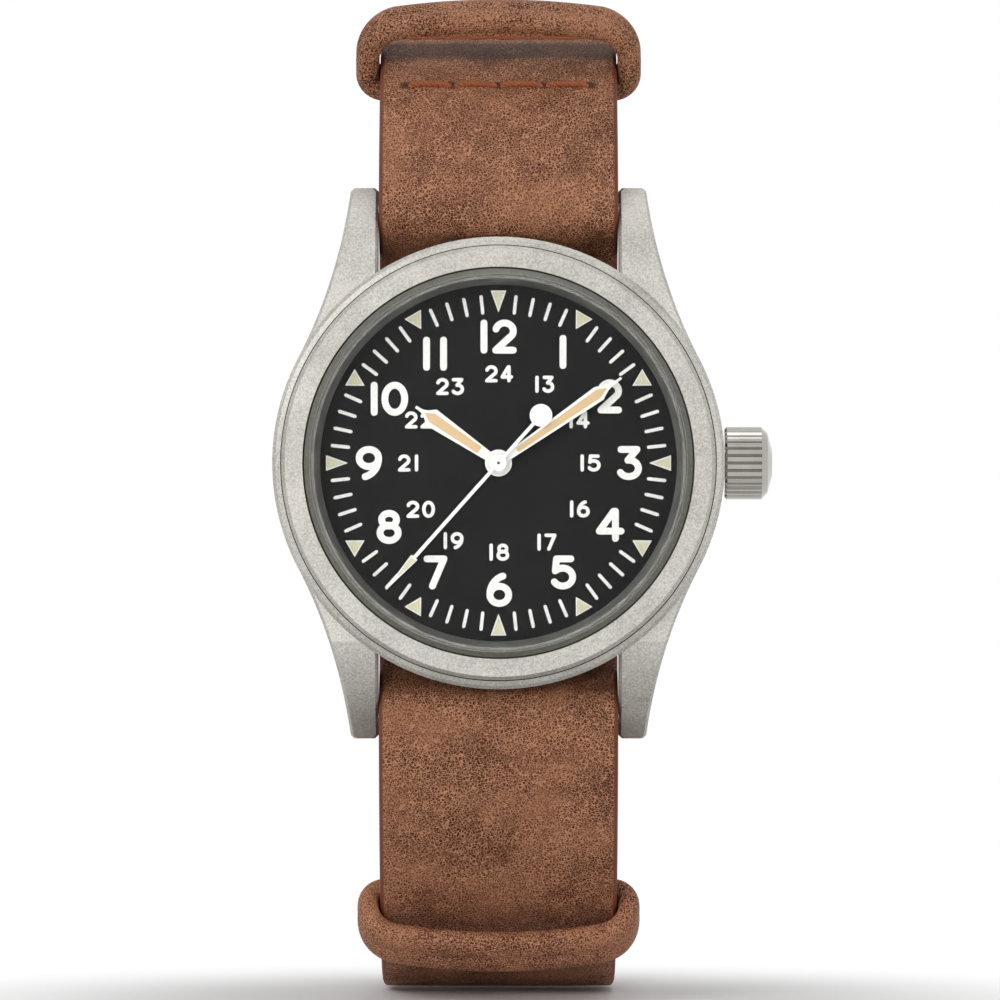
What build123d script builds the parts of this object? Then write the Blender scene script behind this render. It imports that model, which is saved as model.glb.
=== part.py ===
from build123d import *
import math
import os

# Field watch on a leather strap that passes behind the case, in millimetres.
# Each piece is drawn on a bench: x to 3 o'clock, y to 12 o'clock, z out of the dial.
# Bench height zero is the face of the strap that lies on the wrist.
# place() then turns the bench upright: the dial looks along -Y and 12 o'clock is +Z.

# Strap
strap_width = 20.0
main_thick = 1.6
under_thick = 1.5
layer_gap = 0.10
case_to_strap_gap = 0.15

# Movement across, which the case and all its wheels follow
movement_radius = 12.8

# Case, across
holder_wall = 3.0
case_wall = 3.2
foot_inset = 2.0
shoulder_width = 0.8
bezel_width = 1.78
crystal_gap = 0.15
crystal_edge = 0.42
back_inset = 0.7
spigot_gap = 0.1
case_bore_radius = movement_radius + holder_wall
case_radius = case_bore_radius + case_wall
case_foot_radius = case_radius - foot_inset
case_edge_chamfer = 0.28
shoulder_drop = 0.25
bezel_radius = case_radius - shoulder_width
bezel_bore_radius = bezel_radius - bezel_width
bezel_chamfer = 0.30
crystal_radius = bezel_bore_radius - crystal_gap
crystal_top_radius = crystal_radius - crystal_edge
back_flange_radius = case_foot_radius - back_inset
back_spigot_radius = case_bore_radius - spigot_gap
back_spigot_wall = 0.8

# Case, in height
back_flange_thick = 0.6
back_plate_thick = 1.0
back_spigot_height = 1.1
notch_count = 6
notch_width = 2.2
notch_depth = 0.35
case_height = 6.6
case_taper_height = 3.25
bezel_height = 1.65
crystal_height = 2.2
crystal_bevel = 0.45
movement_clearance = 0.55

# Lugs
lug_side_gap = 0.15
lug_gap_width = strap_width + 2 * lug_side_gap
lug_tip_width = 2.35
lug_tip_halfwidth = lug_gap_width / 2 + lug_tip_width
lug_beyond_case = 4.3
lug_tip_reach = case_radius + lug_beyond_case
lug_root_share = 0.474
lug_root_reach = lug_root_share * case_radius
lug_flank_radius = 40.0
lug_corner = 0.3
lug_top_inset = 4.0
lug_top_start = case_radius - lug_top_inset
lug_top_radius = 11.5
lug_tip_height = 2.9
lug_tip_drop = 1.0
lug_bevel = 0.22
lug_hole_radius = 0.40
lug_hole_depth = 1.3

# Spring bars
bar_to_tip = 2.0
bar_reach = lug_tip_reach - bar_to_tip
bar_height_over_back = 2.0
bar_radius = 0.9
bar_bore_radius = 0.62
bar_end_gap = 0.25
bar_tip_radius = 0.36
bar_shank_radius = 0.56
bar_shank_length = 3.2
bar_tip_engagement = 1.0
bar_clearance = 0.10

# Running and seating clearances
running = 0.03
seat_gap = 0.05
soft_gap = 0.20
overrun = 5.0

# Crown and stem
crown_radius = 3.05
crown_gap = 0.05
crown_flute_length = 3.11
crown_chamfer_length = 0.51
crown_dome = 0.38
crown_start = case_radius + crown_gap
crown_flute_end = crown_start + crown_flute_length
crown_chamfer_end = crown_flute_end + crown_chamfer_length
crown_chamfer_radius = 2.54
crown_face_end = crown_chamfer_end + crown_dome
crown_face_radius = 1.24
crown_flutes = 30
crown_flute_depth = 0.20
crown_flute_share = 0.55
crown_flat_depth = 0.33
crown_seat_plane = case_radius - crown_flat_depth
crown_seat_halfwidth = 1.77
crown_bore_radius = 1.55
crown_bore_depth = 1.7
crown_pull = 0.9
tube_radius = 1.25
tube_bore_radius = 0.75
tube_proud = 1.55
stem_radius = 0.45
stem_inner_end_share = 0.51562
stem_inner_end = stem_inner_end_share * movement_radius
stem_square_side = 0.58
stem_thread_depth = 0.9
stem_round_start_share = 0.875
stem_round_start = stem_round_start_share * movement_radius
stem_groove_start_share = 0.9375
stem_groove_start = stem_groove_start_share * movement_radius
stem_groove_width = 0.35
stem_groove_radius = 0.28
stem_height_share = 0.4
gasket_wire = 0.14

# Dial and hands
dial_gap = 0.1
dial_radius = case_bore_radius - dial_gap
dial_thick = 0.4
dial_bore_gap = 0.15
dial_peg_radius = 0.35
dial_peg_shares = [(0.32, 0.89), (-0.32, -0.89)]
flange_width = 0.7
flange_slope = 0.5
flange_foot_radius = dial_radius - flange_width
flange_top_radius = flange_foot_radius + flange_slope
hour_hand_reach_share = 0.53822
hour_hand_reach = hour_hand_reach_share * dial_radius
hour_hub_wall = 0.28
hour_neck_halfwidth = 0.40
hour_shoulder_reach_share = 0.43312
hour_shoulder_reach = hour_shoulder_reach_share * dial_radius
hour_shoulder_halfwidth = 0.725
minute_hand_reach_share = 0.80255
minute_hand_reach = minute_hand_reach_share * dial_radius
minute_hub_wall = 0.25
minute_neck_halfwidth = 0.32
minute_shoulder_reach_share = 0.65605
minute_shoulder_reach = minute_shoulder_reach_share * dial_radius
minute_shoulder_halfwidth = 0.65
seconds_hand_reach_share = 0.90446
seconds_hand_reach = seconds_hand_reach_share * dial_radius
seconds_cap_radius = 0.68
seconds_shaft_halfwidth = 0.15
seconds_lume_start_share = 0.67516
seconds_lume_start = seconds_lume_start_share * dial_radius
seconds_lume_end_share = 0.81529
seconds_lume_end = seconds_lume_end_share * dial_radius
seconds_lume_halfwidth = 0.345
seconds_tail_reach_share = 0.3414
seconds_tail_reach = seconds_tail_reach_share * dial_radius
seconds_tail_radius = 0.95
hand_thick = 0.16
seconds_thick = 0.12
hand_tip_halfwidth = 0.06
hour_hand_lift = 0.30
hand_spacing = 0.36
hour_angle = 304.2
minute_angle = 55.3
seconds_angle = 221.7

# Movement, in height over the movement's back
bridge_thick = 0.7
wheel_space = 1.5
mainplate_thick = 0.7
motion_space = 0.45
winding_gap = 0.15
plate_gap = 0.08
arbor_radius = 0.20
pivot_radius = 0.09
pivot_play = 0.02
jewel_radius = 0.50
jewel_thick = 0.25
wheel_thick = 0.15
foot_radius = 0.9
screw_radius = 0.42
screw_head_radius = 0.75
screw_head_thick = 0.35
screw_slot = 0.16

spoke_count = 5
spoke_width = 0.35
rim_width = 0.32
hub_wall = 0.2

# Teeth, as shares of the module and of the pitch
tooth_tip_share = 0.80
tooth_root_share = 1.25
tooth_tip_width_share = 0.11

# Going train: counts, centre distances and directions in degrees from 3 o'clock
barrel_teeth = 48
centre_pinion_teeth = 8
centre_teeth = 64
third_pinion_teeth = 8
third_teeth = 60
fourth_pinion_teeth = 8
fourth_teeth = 60
escape_pinion_teeth = 6
escape_teeth = 15
barrel_distance_share = 0.47422
barrel_distance = barrel_distance_share * movement_radius
third_distance_share = 0.32812
third_distance = third_distance_share * movement_radius
escape_distance_share = 0.30469
escape_distance = escape_distance_share * movement_radius
barrel_angle = 60.0
third_angle = 200.0
escape_angle = 290.0
barrel_drum_radius_share = 0.37891
barrel_drum_radius = barrel_drum_radius_share * movement_radius
barrel_wall = 0.18
barrel_height = 0.75
mainspring_turns = 3
barrel_arbor_radius = 0.65
ratchet_seat_radius = 0.45
escape_radius_share = 0.125
escape_radius = escape_radius_share * movement_radius
escape_tip_share = 0.12
escape_back_share = 0.55
escape_root_share = 0.76
balance_x_share = 0.3125
balance_x = balance_x_share * movement_radius
balance_y_share = -0.64062
balance_y = balance_y_share * movement_radius
balance_radius_share = 0.23438
balance_radius = balance_radius_share * movement_radius
balance_rim = 0.35
pallet_distance_share = 0.17578
pallet_distance = pallet_distance_share * movement_radius
balance_thick = 0.25
balance_room = 0.35
roller_radius_share = 0.02734
roller_radius = roller_radius_share * movement_radius
fork_gap = 0.08
fork_width = 0.22
anchor_back_share = 0.01953
anchor_back = anchor_back_share * movement_radius
anchor_halfspan_share = 0.08594
anchor_halfspan = anchor_halfspan_share * movement_radius
stone_reach_share = 0.06641
stone_reach = stone_reach_share * movement_radius
hairspring_radius_share = 0.13281
hairspring_radius = hairspring_radius_share * movement_radius
hairspring_turns = 3
barrel_line_share = 0.125
barrel_line = barrel_line_share * movement_radius
train_line_share = 0.10937
train_line = train_line_share * movement_radius
keyless_left_share = 0.30469
keyless_left = keyless_left_share * movement_radius
keyless_low_share = -0.14844
keyless_low = keyless_low_share * movement_radius
bridge_slit = 0.3
balance_line_share = 0.07031
balance_line = balance_line_share * movement_radius
cock_width_share = 0.1875
cock_width = cock_width_share * movement_radius
pallet_bridge_width = 0.9
pallet_bridge_thick = 0.2
pallet_foot_radius = 0.4
barrel_feet_shares = [(0.773, 0.406), (-0.328, 0.766), (-0.516, 0.328)]
train_feet_shares = [(-0.8125, -0.273), (-0.25, -0.742)]
cock_feet_shares = [(0.734, -0.39)]
pallet_feet_shares = [(0.0703, -0.547), (0.3125, -0.344)]
slot_room = 0.3
winding_slot_start_share = 0.49219
winding_slot_start = winding_slot_start_share * movement_radius
winding_slot_halfwidth = 1.36
post_radius = 0.25
yoke_finger_x_share = 0.58594
yoke_finger_x = yoke_finger_x_share * movement_radius
yoke_finger_y_share = -0.05859
yoke_finger_y = yoke_finger_y_share * movement_radius
lever_room = 3.0
click_pivot_distance_share = 0.41406
click_pivot_distance = click_pivot_distance_share * movement_radius
click_pivot_angle = 150.0
click_tip_angle = 130.0
click_width = 0.5
fourth_post_radius_share = 0.0125
fourth_post_radius = fourth_post_radius_share * movement_radius
centre_arbor_radius_share = 0.03281
centre_arbor_radius = centre_arbor_radius_share * movement_radius
centre_bore_radius_share = 0.01562
centre_bore_radius = centre_bore_radius_share * movement_radius
cannon_radius_share = 0.04844
cannon_radius = cannon_radius_share * movement_radius
hour_pipe_radius_share = 0.06641
hour_pipe_radius = hour_pipe_radius_share * movement_radius
hour_hub_radius = hour_pipe_radius + hour_hub_wall
minute_hub_radius = cannon_radius + minute_hub_wall
dial_bore_radius = hour_pipe_radius + dial_bore_gap

# Motion work under the dial
motion_module_share = 0.00859
motion_module = motion_module_share * movement_radius
cannon_teeth = 10
minute_wheel_teeth = 30
minute_pinion_teeth = 8
hour_wheel_teeth = 32
setting_teeth = 20

# Winding work
ratchet_teeth = 48
crown_wheel_teeth = 30
crown_wheel_x_share = 0.5
crown_wheel_x = crown_wheel_x_share * movement_radius
crown_post_radius = 0.5
winding_thick = 0.30
crown_wheel_thick = 0.40
winding_pinion_radius = 1.28
winding_pinion_start_share = 0.64844
winding_pinion_start = winding_pinion_start_share * movement_radius
winding_pinion_length_share = 0.07812
winding_pinion_length = winding_pinion_length_share * movement_radius
winding_pinion_teeth = 15
sliding_pinion_radius = 0.9
sliding_pinion_length_share = 0.08984
sliding_pinion_length = sliding_pinion_length_share * movement_radius
sliding_pinion_gap = 0.10
sliding_groove = 0.4
sliding_shift = 0.45
square_clearance = 0.04
lever_thick = 0.22
lever_width = 0.66
lever_pivot_x_share = 0.92188
lever_pivot_x = lever_pivot_x_share * movement_radius
lever_pivot_y_share = 0.26562
lever_pivot_y = lever_pivot_y_share * movement_radius
lever_pin_radius = 0.13
yoke_pivot_x_share = 0.57031
yoke_pivot_x = yoke_pivot_x_share * movement_radius
yoke_pivot_y_share = -0.35547
yoke_pivot_y = yoke_pivot_y_share * movement_radius

# Buckle at the back of the strap
pin_radius = 0.8
eye_wall = 1.0
buckle_wire = 2.2
buckle_side_gap = 0.4
buckle_edge = 0.4
buckle_length = 15.0
pin_height = 2.0
tongue_width = 1.6
tongue_thick = 1.1
tongue_slot_width = 3.0
tongue_hub_radius = 1.5
buckle_knee = 6.0
buckle_lift = 0.6
holes_above = 2
tail_cut = 9.0
eye_reach = 1.2
ring_seam = 0.1
hole_radius = 1.15
hole_pitch = 6.5
hole_count = 7

# Strap route, seen from the side
corner_to_bar = 5.3
corner_reach = bar_reach - corner_to_bar
corner_radius = 2.4
top_tilt = 21.6
top_arc_radius = 24.4
top_arc_end_angle = 100.0
top_back_radius = 15.0
bottom_tilt = 9.5
bottom_arc_radius = 27.8
bottom_arc_end_angle = 112.0
bottom_back_radius = 16.0
under_bend_radius = 3.0
under_top_end_angle = 52.5
bottom_straight = 3.6
tail_offset = 3.05
tail_beyond_pin = 22.0

# Keepers
keeper_width = 4.2
keeper_wall = 1.7
keeper_depth = 3.2
keeper_crown = 0.8
keeper_side_gap = 0.22
keeper_corner = 0.6
keeper_front_corner = 2.2
keeper_edge = 0.5
top_keeper_tilt = 60.0
bottom_ring_tilt = 51.0
floating_keeper_above_pin = 9.0

# Stitches
stitch_length = 3.1
stitch_pitch = 3.9
stitch_count = 4
stitch_radius = 0.30
stitch_row_tilt = 47.6

# Heights on the bench, from the wrist outwards
main_foot = under_thick + layer_gap
back_z = main_foot + main_thick + case_to_strap_gap
case_foot = back_z + back_flange_thick
case_top = case_foot + case_height
bezel_top = case_top + bezel_height
crystal_top = case_top + crystal_height
movement_foot = back_z + back_plate_thick + movement_clearance
bridge_top = movement_foot + bridge_thick
mainplate_foot = bridge_top + wheel_space
mainplate_top = mainplate_foot + mainplate_thick
dial_foot = mainplate_top + motion_space
dial_top = dial_foot + dial_thick
hand_foot = dial_top + hour_hand_lift
bar_z = back_z + bar_height_over_back
tail_end = pin_height + tail_beyond_pin
bar_wrap = bar_radius + bar_clearance + main_thick / 2

# Depth of the strap at the back, where the bottom arc, a straight and the back bend lead it
bottom_lean = math.radians(90 - bottom_arc_end_angle)
bottom_arc_middle = -bar_z + (bottom_arc_radius - bar_wrap) * math.cos(math.radians(bottom_tilt))
bottom_arc_far = bottom_arc_middle - bottom_arc_radius * math.cos(math.radians(bottom_arc_end_angle))
bottom_bend_depth = bottom_back_radius * (1 + math.sin(bottom_lean))
back_depth = bottom_arc_far + bottom_straight * math.cos(bottom_lean) + bottom_bend_depth
stem_z = bridge_top + stem_height_share * wheel_space


def place(piece):
    """Turn a piece from the bench to its upright place in the watch."""
    return Rot(90, 0, 0) * piece


def save(name, piece):
    """Write one piece of the watch under its own name."""
    solids = piece if isinstance(piece, list) else piece.solids()
    shape = Compound([solid for part in solids for solid in part.solids()])
    shape.label = name
    export_step(shape, f"parts/{name}.step")


def disc(radius, foot, top):
    """A round plate on the dial's axis between two heights."""
    return Pos(0, 0, foot) * Cylinder(radius, top - foot, align=(Align.CENTER, Align.CENTER, Align.MIN))


def ring(outer, inner, foot, top):
    """A flat ring on the dial's axis between two heights."""
    return disc(outer, foot, top) - disc(inner, foot - overrun, top + overrun)


def turned(*profile):
    """Revolve a closed outline of (radius, height) points about the dial's axis."""
    face = make_face(Polyline(*[(r, 0, z) for r, z in profile], close=True))
    return revolve(face, axis=Axis.Z, revolution_arc=360)


def along_x(piece, height):
    """Lay a piece that was made along z down along x, at a height on the bench."""
    return Pos(0, 0, height) * Rot(0, 90, 0) * piece


def lug_block():
    """One lug: its outline from the front, cut to its outline from the side."""
    inner = lug_gap_width / 2
    root = math.sqrt(case_radius**2 - lug_root_reach**2)
    plan = make_face(
        [
            Line((inner, 0), (inner, lug_tip_reach - lug_corner)),
            Line((inner, lug_tip_reach - lug_corner), (inner + lug_corner, lug_tip_reach)),
            Line((inner + lug_corner, lug_tip_reach), (lug_tip_halfwidth - lug_corner, lug_tip_reach)),
            Line(
                (lug_tip_halfwidth - lug_corner, lug_tip_reach),
                (lug_tip_halfwidth, lug_tip_reach - lug_corner),
            ),
            RadiusArc(
                (lug_tip_halfwidth, lug_tip_reach - lug_corner), (root, lug_root_reach), -lug_flank_radius
            ),
            Line((root, lug_root_reach), (root, 0)),
            Line((root, 0), (inner, 0)),
        ]
    )
    top = case_top - shoulder_drop - case_edge_chamfer
    foot = lug_tip_height
    tip_top = foot + lug_tip_drop
    side = make_face(
        [
            Line((0, case_foot), (0, top)),
            Line((0, top), (lug_top_start, top)),
            RadiusArc((lug_top_start, top), (lug_tip_reach, tip_top), lug_top_radius),
            Line((lug_tip_reach, tip_top), (lug_tip_reach, foot)),
            Line((lug_tip_reach, foot), (lug_top_start, case_foot)),
            Line((lug_top_start, case_foot), (0, case_foot)),
        ]
    )
    block = extrude(plan, case_top) & extrude(Plane.YZ * side, case_radius)
    rims = [
        edge for edge in block.edges()
        if min(spot.Z for spot in edge.vertices()) > tip_top - seat_gap and abs((edge % 0.5).X) < 1 / 2
    ]
    return chamfer(rims, lug_bevel)


def make_case_middle():
    """The case: a turned body with a tapered foot, four lugs, and its bores."""
    rim = case_radius - case_edge_chamfer
    shoulder = case_top - shoulder_drop
    body = turned(
        (0, case_foot),
        (case_foot_radius, case_foot),
        (case_radius, case_foot + case_taper_height),
        (case_radius, shoulder - case_edge_chamfer),
        (rim, shoulder),
        (bezel_radius, case_top),
        (0, case_top),
    )
    lug = lug_block()
    lugs = [lug, mirror(lug, Plane.YZ), mirror(lug, Plane.XZ), mirror(mirror(lug, Plane.YZ), Plane.XZ)]
    case = body + lugs
    case -= disc(case_bore_radius, case_foot - overrun, case_top + overrun)
    flat = Pos(crown_seat_plane, 0, stem_z) * Box(
        overrun, 2 * crown_seat_halfwidth, case_height * 2, align=(Align.MIN, Align.CENTER, Align.CENTER)
    )
    case -= flat & disc(
        case_radius + overrun, case_foot - overrun, case_top - shoulder_drop - case_edge_chamfer,
    )
    case -= along_x(
        Cylinder(tube_radius, case_radius + overrun, align=(Align.CENTER, Align.CENTER, Align.MIN)),
        stem_z,
    )
    hole = Rot(0, 90, 0) * Cylinder(lug_hole_radius, lug_gap_width + 2 * lug_hole_depth)
    for end in (1, -1):
        case -= Pos(0, end * bar_reach, bar_z) * hole
    return case


def make_bezel():
    """The fixed bezel: a ring with a chamfered outer edge."""
    return turned(
        (bezel_bore_radius, case_top),
        (bezel_radius, case_top),
        (bezel_radius, bezel_top - bezel_chamfer),
        (bezel_radius - bezel_chamfer, bezel_top),
        (bezel_bore_radius, bezel_top),
    )


def make_crystal():
    """The flat crystal, standing proud of the bezel with a bevelled edge."""
    return turned(
        (0, case_top),
        (crystal_radius, case_top),
        (crystal_radius, crystal_top - crystal_bevel),
        (crystal_top_radius, crystal_top),
        (0, crystal_top),
    )


def make_flange_ring():
    """The sloping ring that fills the step between dial and crystal."""
    return turned(
        (flange_foot_radius, dial_top),
        (case_bore_radius - running, dial_top),
        (case_bore_radius - running, case_top - seat_gap),
        (flange_top_radius, case_top - seat_gap),
    )


def make_case_back():
    """The screwed back: a flange, a plate, a spigot and six notches for the key."""
    top = case_foot + back_spigot_height
    back = disc(back_flange_radius, back_z, case_foot)
    back += ring(back_spigot_radius, back_spigot_radius - back_spigot_wall, case_foot, top)
    back += disc(back_spigot_radius - back_spigot_wall, case_foot, back_z + back_plate_thick)
    notch = Pos(back_flange_radius, 0, back_z) * Box(2 * notch_depth, notch_width, notch_depth)
    back -= PolarLocations(0, notch_count) * notch
    return back


def make_crown():
    """The crown: a fluted barrel, a smooth chamfer and a shallow dome."""
    blank = turned(
        (0, crown_start),
        (crown_radius - crown_flute_depth, crown_start),
        (crown_radius, crown_start + crown_flute_depth),
        (crown_radius, crown_flute_end),
        (crown_chamfer_radius, crown_chamfer_end),
        (crown_face_radius, crown_face_end),
        (0, crown_face_end),
    )
    pitch = 2 * math.pi * crown_radius / crown_flutes
    flute = make_face(
        Polyline(
            (crown_radius - crown_flute_depth, 0),
            (crown_radius + seat_gap, -crown_flute_share * pitch / 2),
            (crown_radius + seat_gap, crown_flute_share * pitch / 2),
            close=True,
        )
    )
    groove = extrude(Pos(0, 0, crown_start - overrun) * flute, overrun + crown_flute_end - crown_start)
    blank -= PolarLocations(0, crown_flutes) * groove
    blank -= disc(crown_bore_radius, crown_start - overrun, crown_start + crown_bore_depth)
    blank -= disc(stem_radius, crown_start, crown_start + crown_bore_depth + stem_thread_depth)
    return along_x(blank, stem_z)


def make_stem():
    """The winding stem: square where the sliding pinion rides, round outside."""
    end = crown_start + crown_bore_depth + stem_thread_depth
    square = Box(
        stem_square_side, stem_square_side, stem_round_start - stem_inner_end,
        align=(Align.CENTER, Align.CENTER, Align.MIN),
    )
    stem = Pos(0, 0, stem_inner_end) * square + disc(stem_radius, stem_round_start, end)
    stem -= ring(
        stem_radius + overrun, stem_groove_radius, stem_groove_start,
        stem_groove_start + stem_groove_width,
    )
    return along_x(stem, stem_z)


def make_crown_tube():
    """The tube pressed in the case, which the crown's skirt runs over."""
    tube = ring(tube_radius, tube_bore_radius, case_bore_radius + seat_gap, crown_start + tube_proud)
    return along_x(tube, stem_z)


def spring_bar(end):
    """A spring bar: its tube and the two stepped tips that run in it."""
    half = lug_gap_width / 2 - bar_end_gap
    tube = Cylinder(bar_radius, 2 * half) - Cylinder(bar_bore_radius, 2 * half)
    shank = disc(bar_shank_radius, half - bar_shank_length, half)
    tip = disc(bar_tip_radius, half, lug_gap_width / 2 + bar_tip_engagement)
    pin = shank + tip
    spot = Pos(0, end * bar_reach, bar_z) * Rot(0, 90, 0)
    return spot * tube, spot * pin, spot * (Rot(180, 0, 0) * pin)


# The strap is drawn from the side, in depth (+Y, towards the wrist) and height (+Z).
# Then it is made its width.
def left_of(heading):
    """The unit step to the left of a heading in degrees."""
    turn = math.radians(heading)
    return Vector(-math.sin(turn), math.cos(turn))


def ahead_of(heading):
    """The unit step along a heading in degrees."""
    turn = math.radians(heading)
    return Vector(math.cos(turn), math.sin(turn))


class Route:
    """A smooth line of straights and bends, which leather of any thickness can follow."""

    def __init__(self, start, heading):
        self.at = Vector(*start)
        self.heading = heading
        self.legs = []

    def straight(self, length):
        self.legs.append((self.at, self.heading, length, 0.0))
        self.at = self.at + ahead_of(self.heading) * length

    def bend(self, radius, sweep):
        """Turn through a sweep in degrees, to the left if it is positive."""
        self.legs.append((self.at, self.heading, radius, sweep))
        self.at, self.heading = self.spot(len(self.legs) - 1, 1)

    def spot(self, leg, share):
        """The point and the heading at a share of one leg."""
        at, heading, size, sweep = self.legs[leg]
        if sweep == 0:
            return at + ahead_of(heading) * size * share, heading
        side = math.copysign(size, sweep)
        centre = at + left_of(heading) * side
        turned_to = heading + sweep * share
        return centre - left_of(turned_to) * side, turned_to

    def edge(self, offset):
        """The route's lines and arcs, moved sideways by an offset to the left."""
        curves = []
        for leg in range(len(self.legs)):
            places = []
            for share in (0, 1 / 2, 1):
                at, heading = self.spot(leg, share)
                places.append(at + left_of(heading) * offset)
            straight = self.legs[leg][3] == 0
            curves.append(Line(places[0], places[2]) if straight else ThreePointArc(*places))
        return curves

    def band(self, thick):
        """The side view of leather that follows the route."""
        outer = self.edge(thick / 2)
        inner = self.edge(-thick / 2)
        ends = [Line(outer[0] @ 0, inner[0] @ 0), Line(outer[-1] @ 1, inner[-1] @ 1)]
        return make_face(outer + inner + ends)


def widen(side_view, width):
    """Give a side view its width, evenly to both sides of the strap's middle."""
    return extrude(Plane.YZ * side_view, width / 2, both=True)


def arc_centre(tilt, radius):
    """The centre of the large arc over a spring bar, with heights counted away from the case."""
    reach = radius - bar_wrap
    lean = math.radians(tilt)
    return Vector(-bar_z + reach * math.cos(lean), bar_reach - reach * math.sin(lean))


def half_route(tilt, radius, arc_end, back_radius, depth, back_end):
    """Half of the main strap's line, from behind the case, over a spring bar and round to the back."""
    route = Route((-(main_foot + main_thick / 2), 0), 90)
    route.straight(corner_reach)
    corner = route.at + left_of(90) * corner_radius
    to_bar = Vector(-bar_z, bar_reach) - corner
    across = corner_radius + bar_wrap
    run = math.sqrt(to_bar.length**2 - across**2)
    heading = math.degrees(math.atan2(to_bar.Y, to_bar.X) + math.pi / 2 - math.atan2(run, across))
    route.bend(corner_radius, heading - 90)
    route.straight(run)
    route.bend(bar_wrap, 90 - tilt - heading)
    route.bend(radius, tilt - arc_end)
    lean = math.radians(route.heading)
    gap = depth - route.at.X - back_radius - back_radius * math.sin(lean)
    route.straight(gap / math.cos(lean))
    route.bend(back_radius, -90 - route.heading)
    route.straight(route.at.Y - back_end)
    return route


def under_route(tilt, radius, end):
    """Half of the second layer's line, which meets the main strap beyond the spring bar."""
    inside = radius - (main_thick + under_thick) / 2 - layer_gap
    centre = arc_centre(tilt, radius)
    start = -under_thick / 2
    across = centre.X - start - under_bend_radius
    rise = math.sqrt((inside - under_bend_radius) ** 2 - across**2)
    meet = math.degrees(math.asin(rise / (inside - under_bend_radius)))
    route = Route((start, 0), 90)
    route.straight(centre.Y + rise)
    route.bend(under_bend_radius, -meet)
    route.bend(inside, meet - end)
    return route


def flipped(piece):
    """The same piece on the 6 o'clock side."""
    return mirror(piece, Plane.XY)


def on_arc(tilt, radius, at_tilt, lift):
    """A plane across the strap on its large arc: x over its width, z along it."""
    turn = math.radians(at_tilt)
    out = Vector(-math.cos(turn), math.sin(turn))
    at = arc_centre(tilt, radius) + out * (radius + lift)
    along = ahead_of(90 - at_tilt)
    return Plane(origin=(0, at.X, at.Y), x_dir=(1, 0, 0), z_dir=(0, along.X, along.Y))


def keeper_outline(half_width, foot, crown_foot, inner_corner, outer_corner):
    """A keeper's outline across the strap: flat towards the wrist, arched outwards."""
    shape = make_face(
        [
            Line((-half_width, foot), (half_width, foot)),
            Line((half_width, foot), (half_width, crown_foot)),
            ThreePointArc(
                (half_width, crown_foot), (0, crown_foot - keeper_crown), (-half_width, crown_foot),
            ),
            Line((-half_width, crown_foot), (-half_width, foot)),
        ]
    )
    corners = shape.vertices().sort_by(Axis.Y)
    shape = fillet(corners[:2], outer_corner)
    corners = shape.vertices().sort_by(Axis.Y)
    return fillet(corners[-2:], inner_corner)


def keeper_loop(spot, inner_foot, depth, front_corner):
    """A loop of rolled leather round the strap, at a plane across it."""
    half = strap_width / 2 + keeper_side_gap
    hole = keeper_outline(half, inner_foot, inner_foot - depth, keeper_corner, front_corner)
    outer = keeper_outline(
        half + keeper_wall, inner_foot + keeper_wall, inner_foot - depth - keeper_wall,
        keeper_corner + keeper_wall, front_corner + keeper_wall,
    )
    loop = extrude(outer - hole, keeper_width / 2, both=True)
    faces = loop.faces().sort_by(Axis.Z)
    rims = faces[0].edges() + faces[-1].edges()
    return spot.location * fillet(rims, keeper_edge)


def make_main_strap(upper, lower):
    """The long strap: eye at the buckle pin, over both bars, and a pointed tail with punched holes."""
    tail = make_face(
        Polyline(
            (-back_depth - main_thick / 2, 0),
            (-back_depth + main_thick / 2, 0),
            (-back_depth + main_thick / 2, tail_end),
            (-back_depth - main_thick / 2, tail_end),
            close=True,
        )
    )
    tail = mirror(tail, Plane.YZ)
    strap = widen(upper.band(main_thick), strap_width)
    strap += flipped(widen(lower.band(main_thick), strap_width))
    strap += widen(tail, strap_width)
    pin_spot = Pos(0, back_depth - tail_offset, pin_height) * Rot(0, 90, 0)
    strap += pin_spot * Cylinder(pin_radius + running + eye_wall, strap_width)
    strap -= pin_spot * Cylinder(pin_radius + running, strap_width + overrun)
    slot = Box(tongue_slot_width, 2 * (tongue_hub_radius + soft_gap), 2 * (tongue_hub_radius + soft_gap))
    strap -= Pos(0, back_depth - tail_offset, pin_height) * slot
    for side in (1, -1):
        corner = Pos(side * strap_width / 2, back_depth, tail_end) * Rot(0, side * 45, 0)
        strap -= corner * Box(tail_cut, overrun, tail_cut)
    for count in range(hole_count):
        hole = Pos(0, back_depth, pin_height + (count - holes_above) * hole_pitch) * Rot(90, 0, 0)
        strap -= hole * Cylinder(hole_radius, 2 * main_thick)
    return strap


def rod(start, end, thick):
    """The side view of a rod with round ends between two points."""
    run = Vector(*end) - Vector(*start)
    middle = (Vector(*start) + Vector(*end)) / 2
    turn = math.degrees(math.atan2(run.Y, run.X))
    return Pos(middle.X, middle.Y) * Rot(0, 0, turn) * SlotCenterToCenter(run.length, thick)


def make_buckle_pin():
    """The pin that carries frame and tongue, through the strap's eye."""
    half = strap_width / 2 + buckle_side_gap + buckle_wire / 2
    return Pos(0, back_depth - tail_offset, pin_height) * Rot(0, 90, 0) * Cylinder(pin_radius, 2 * half)


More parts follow.
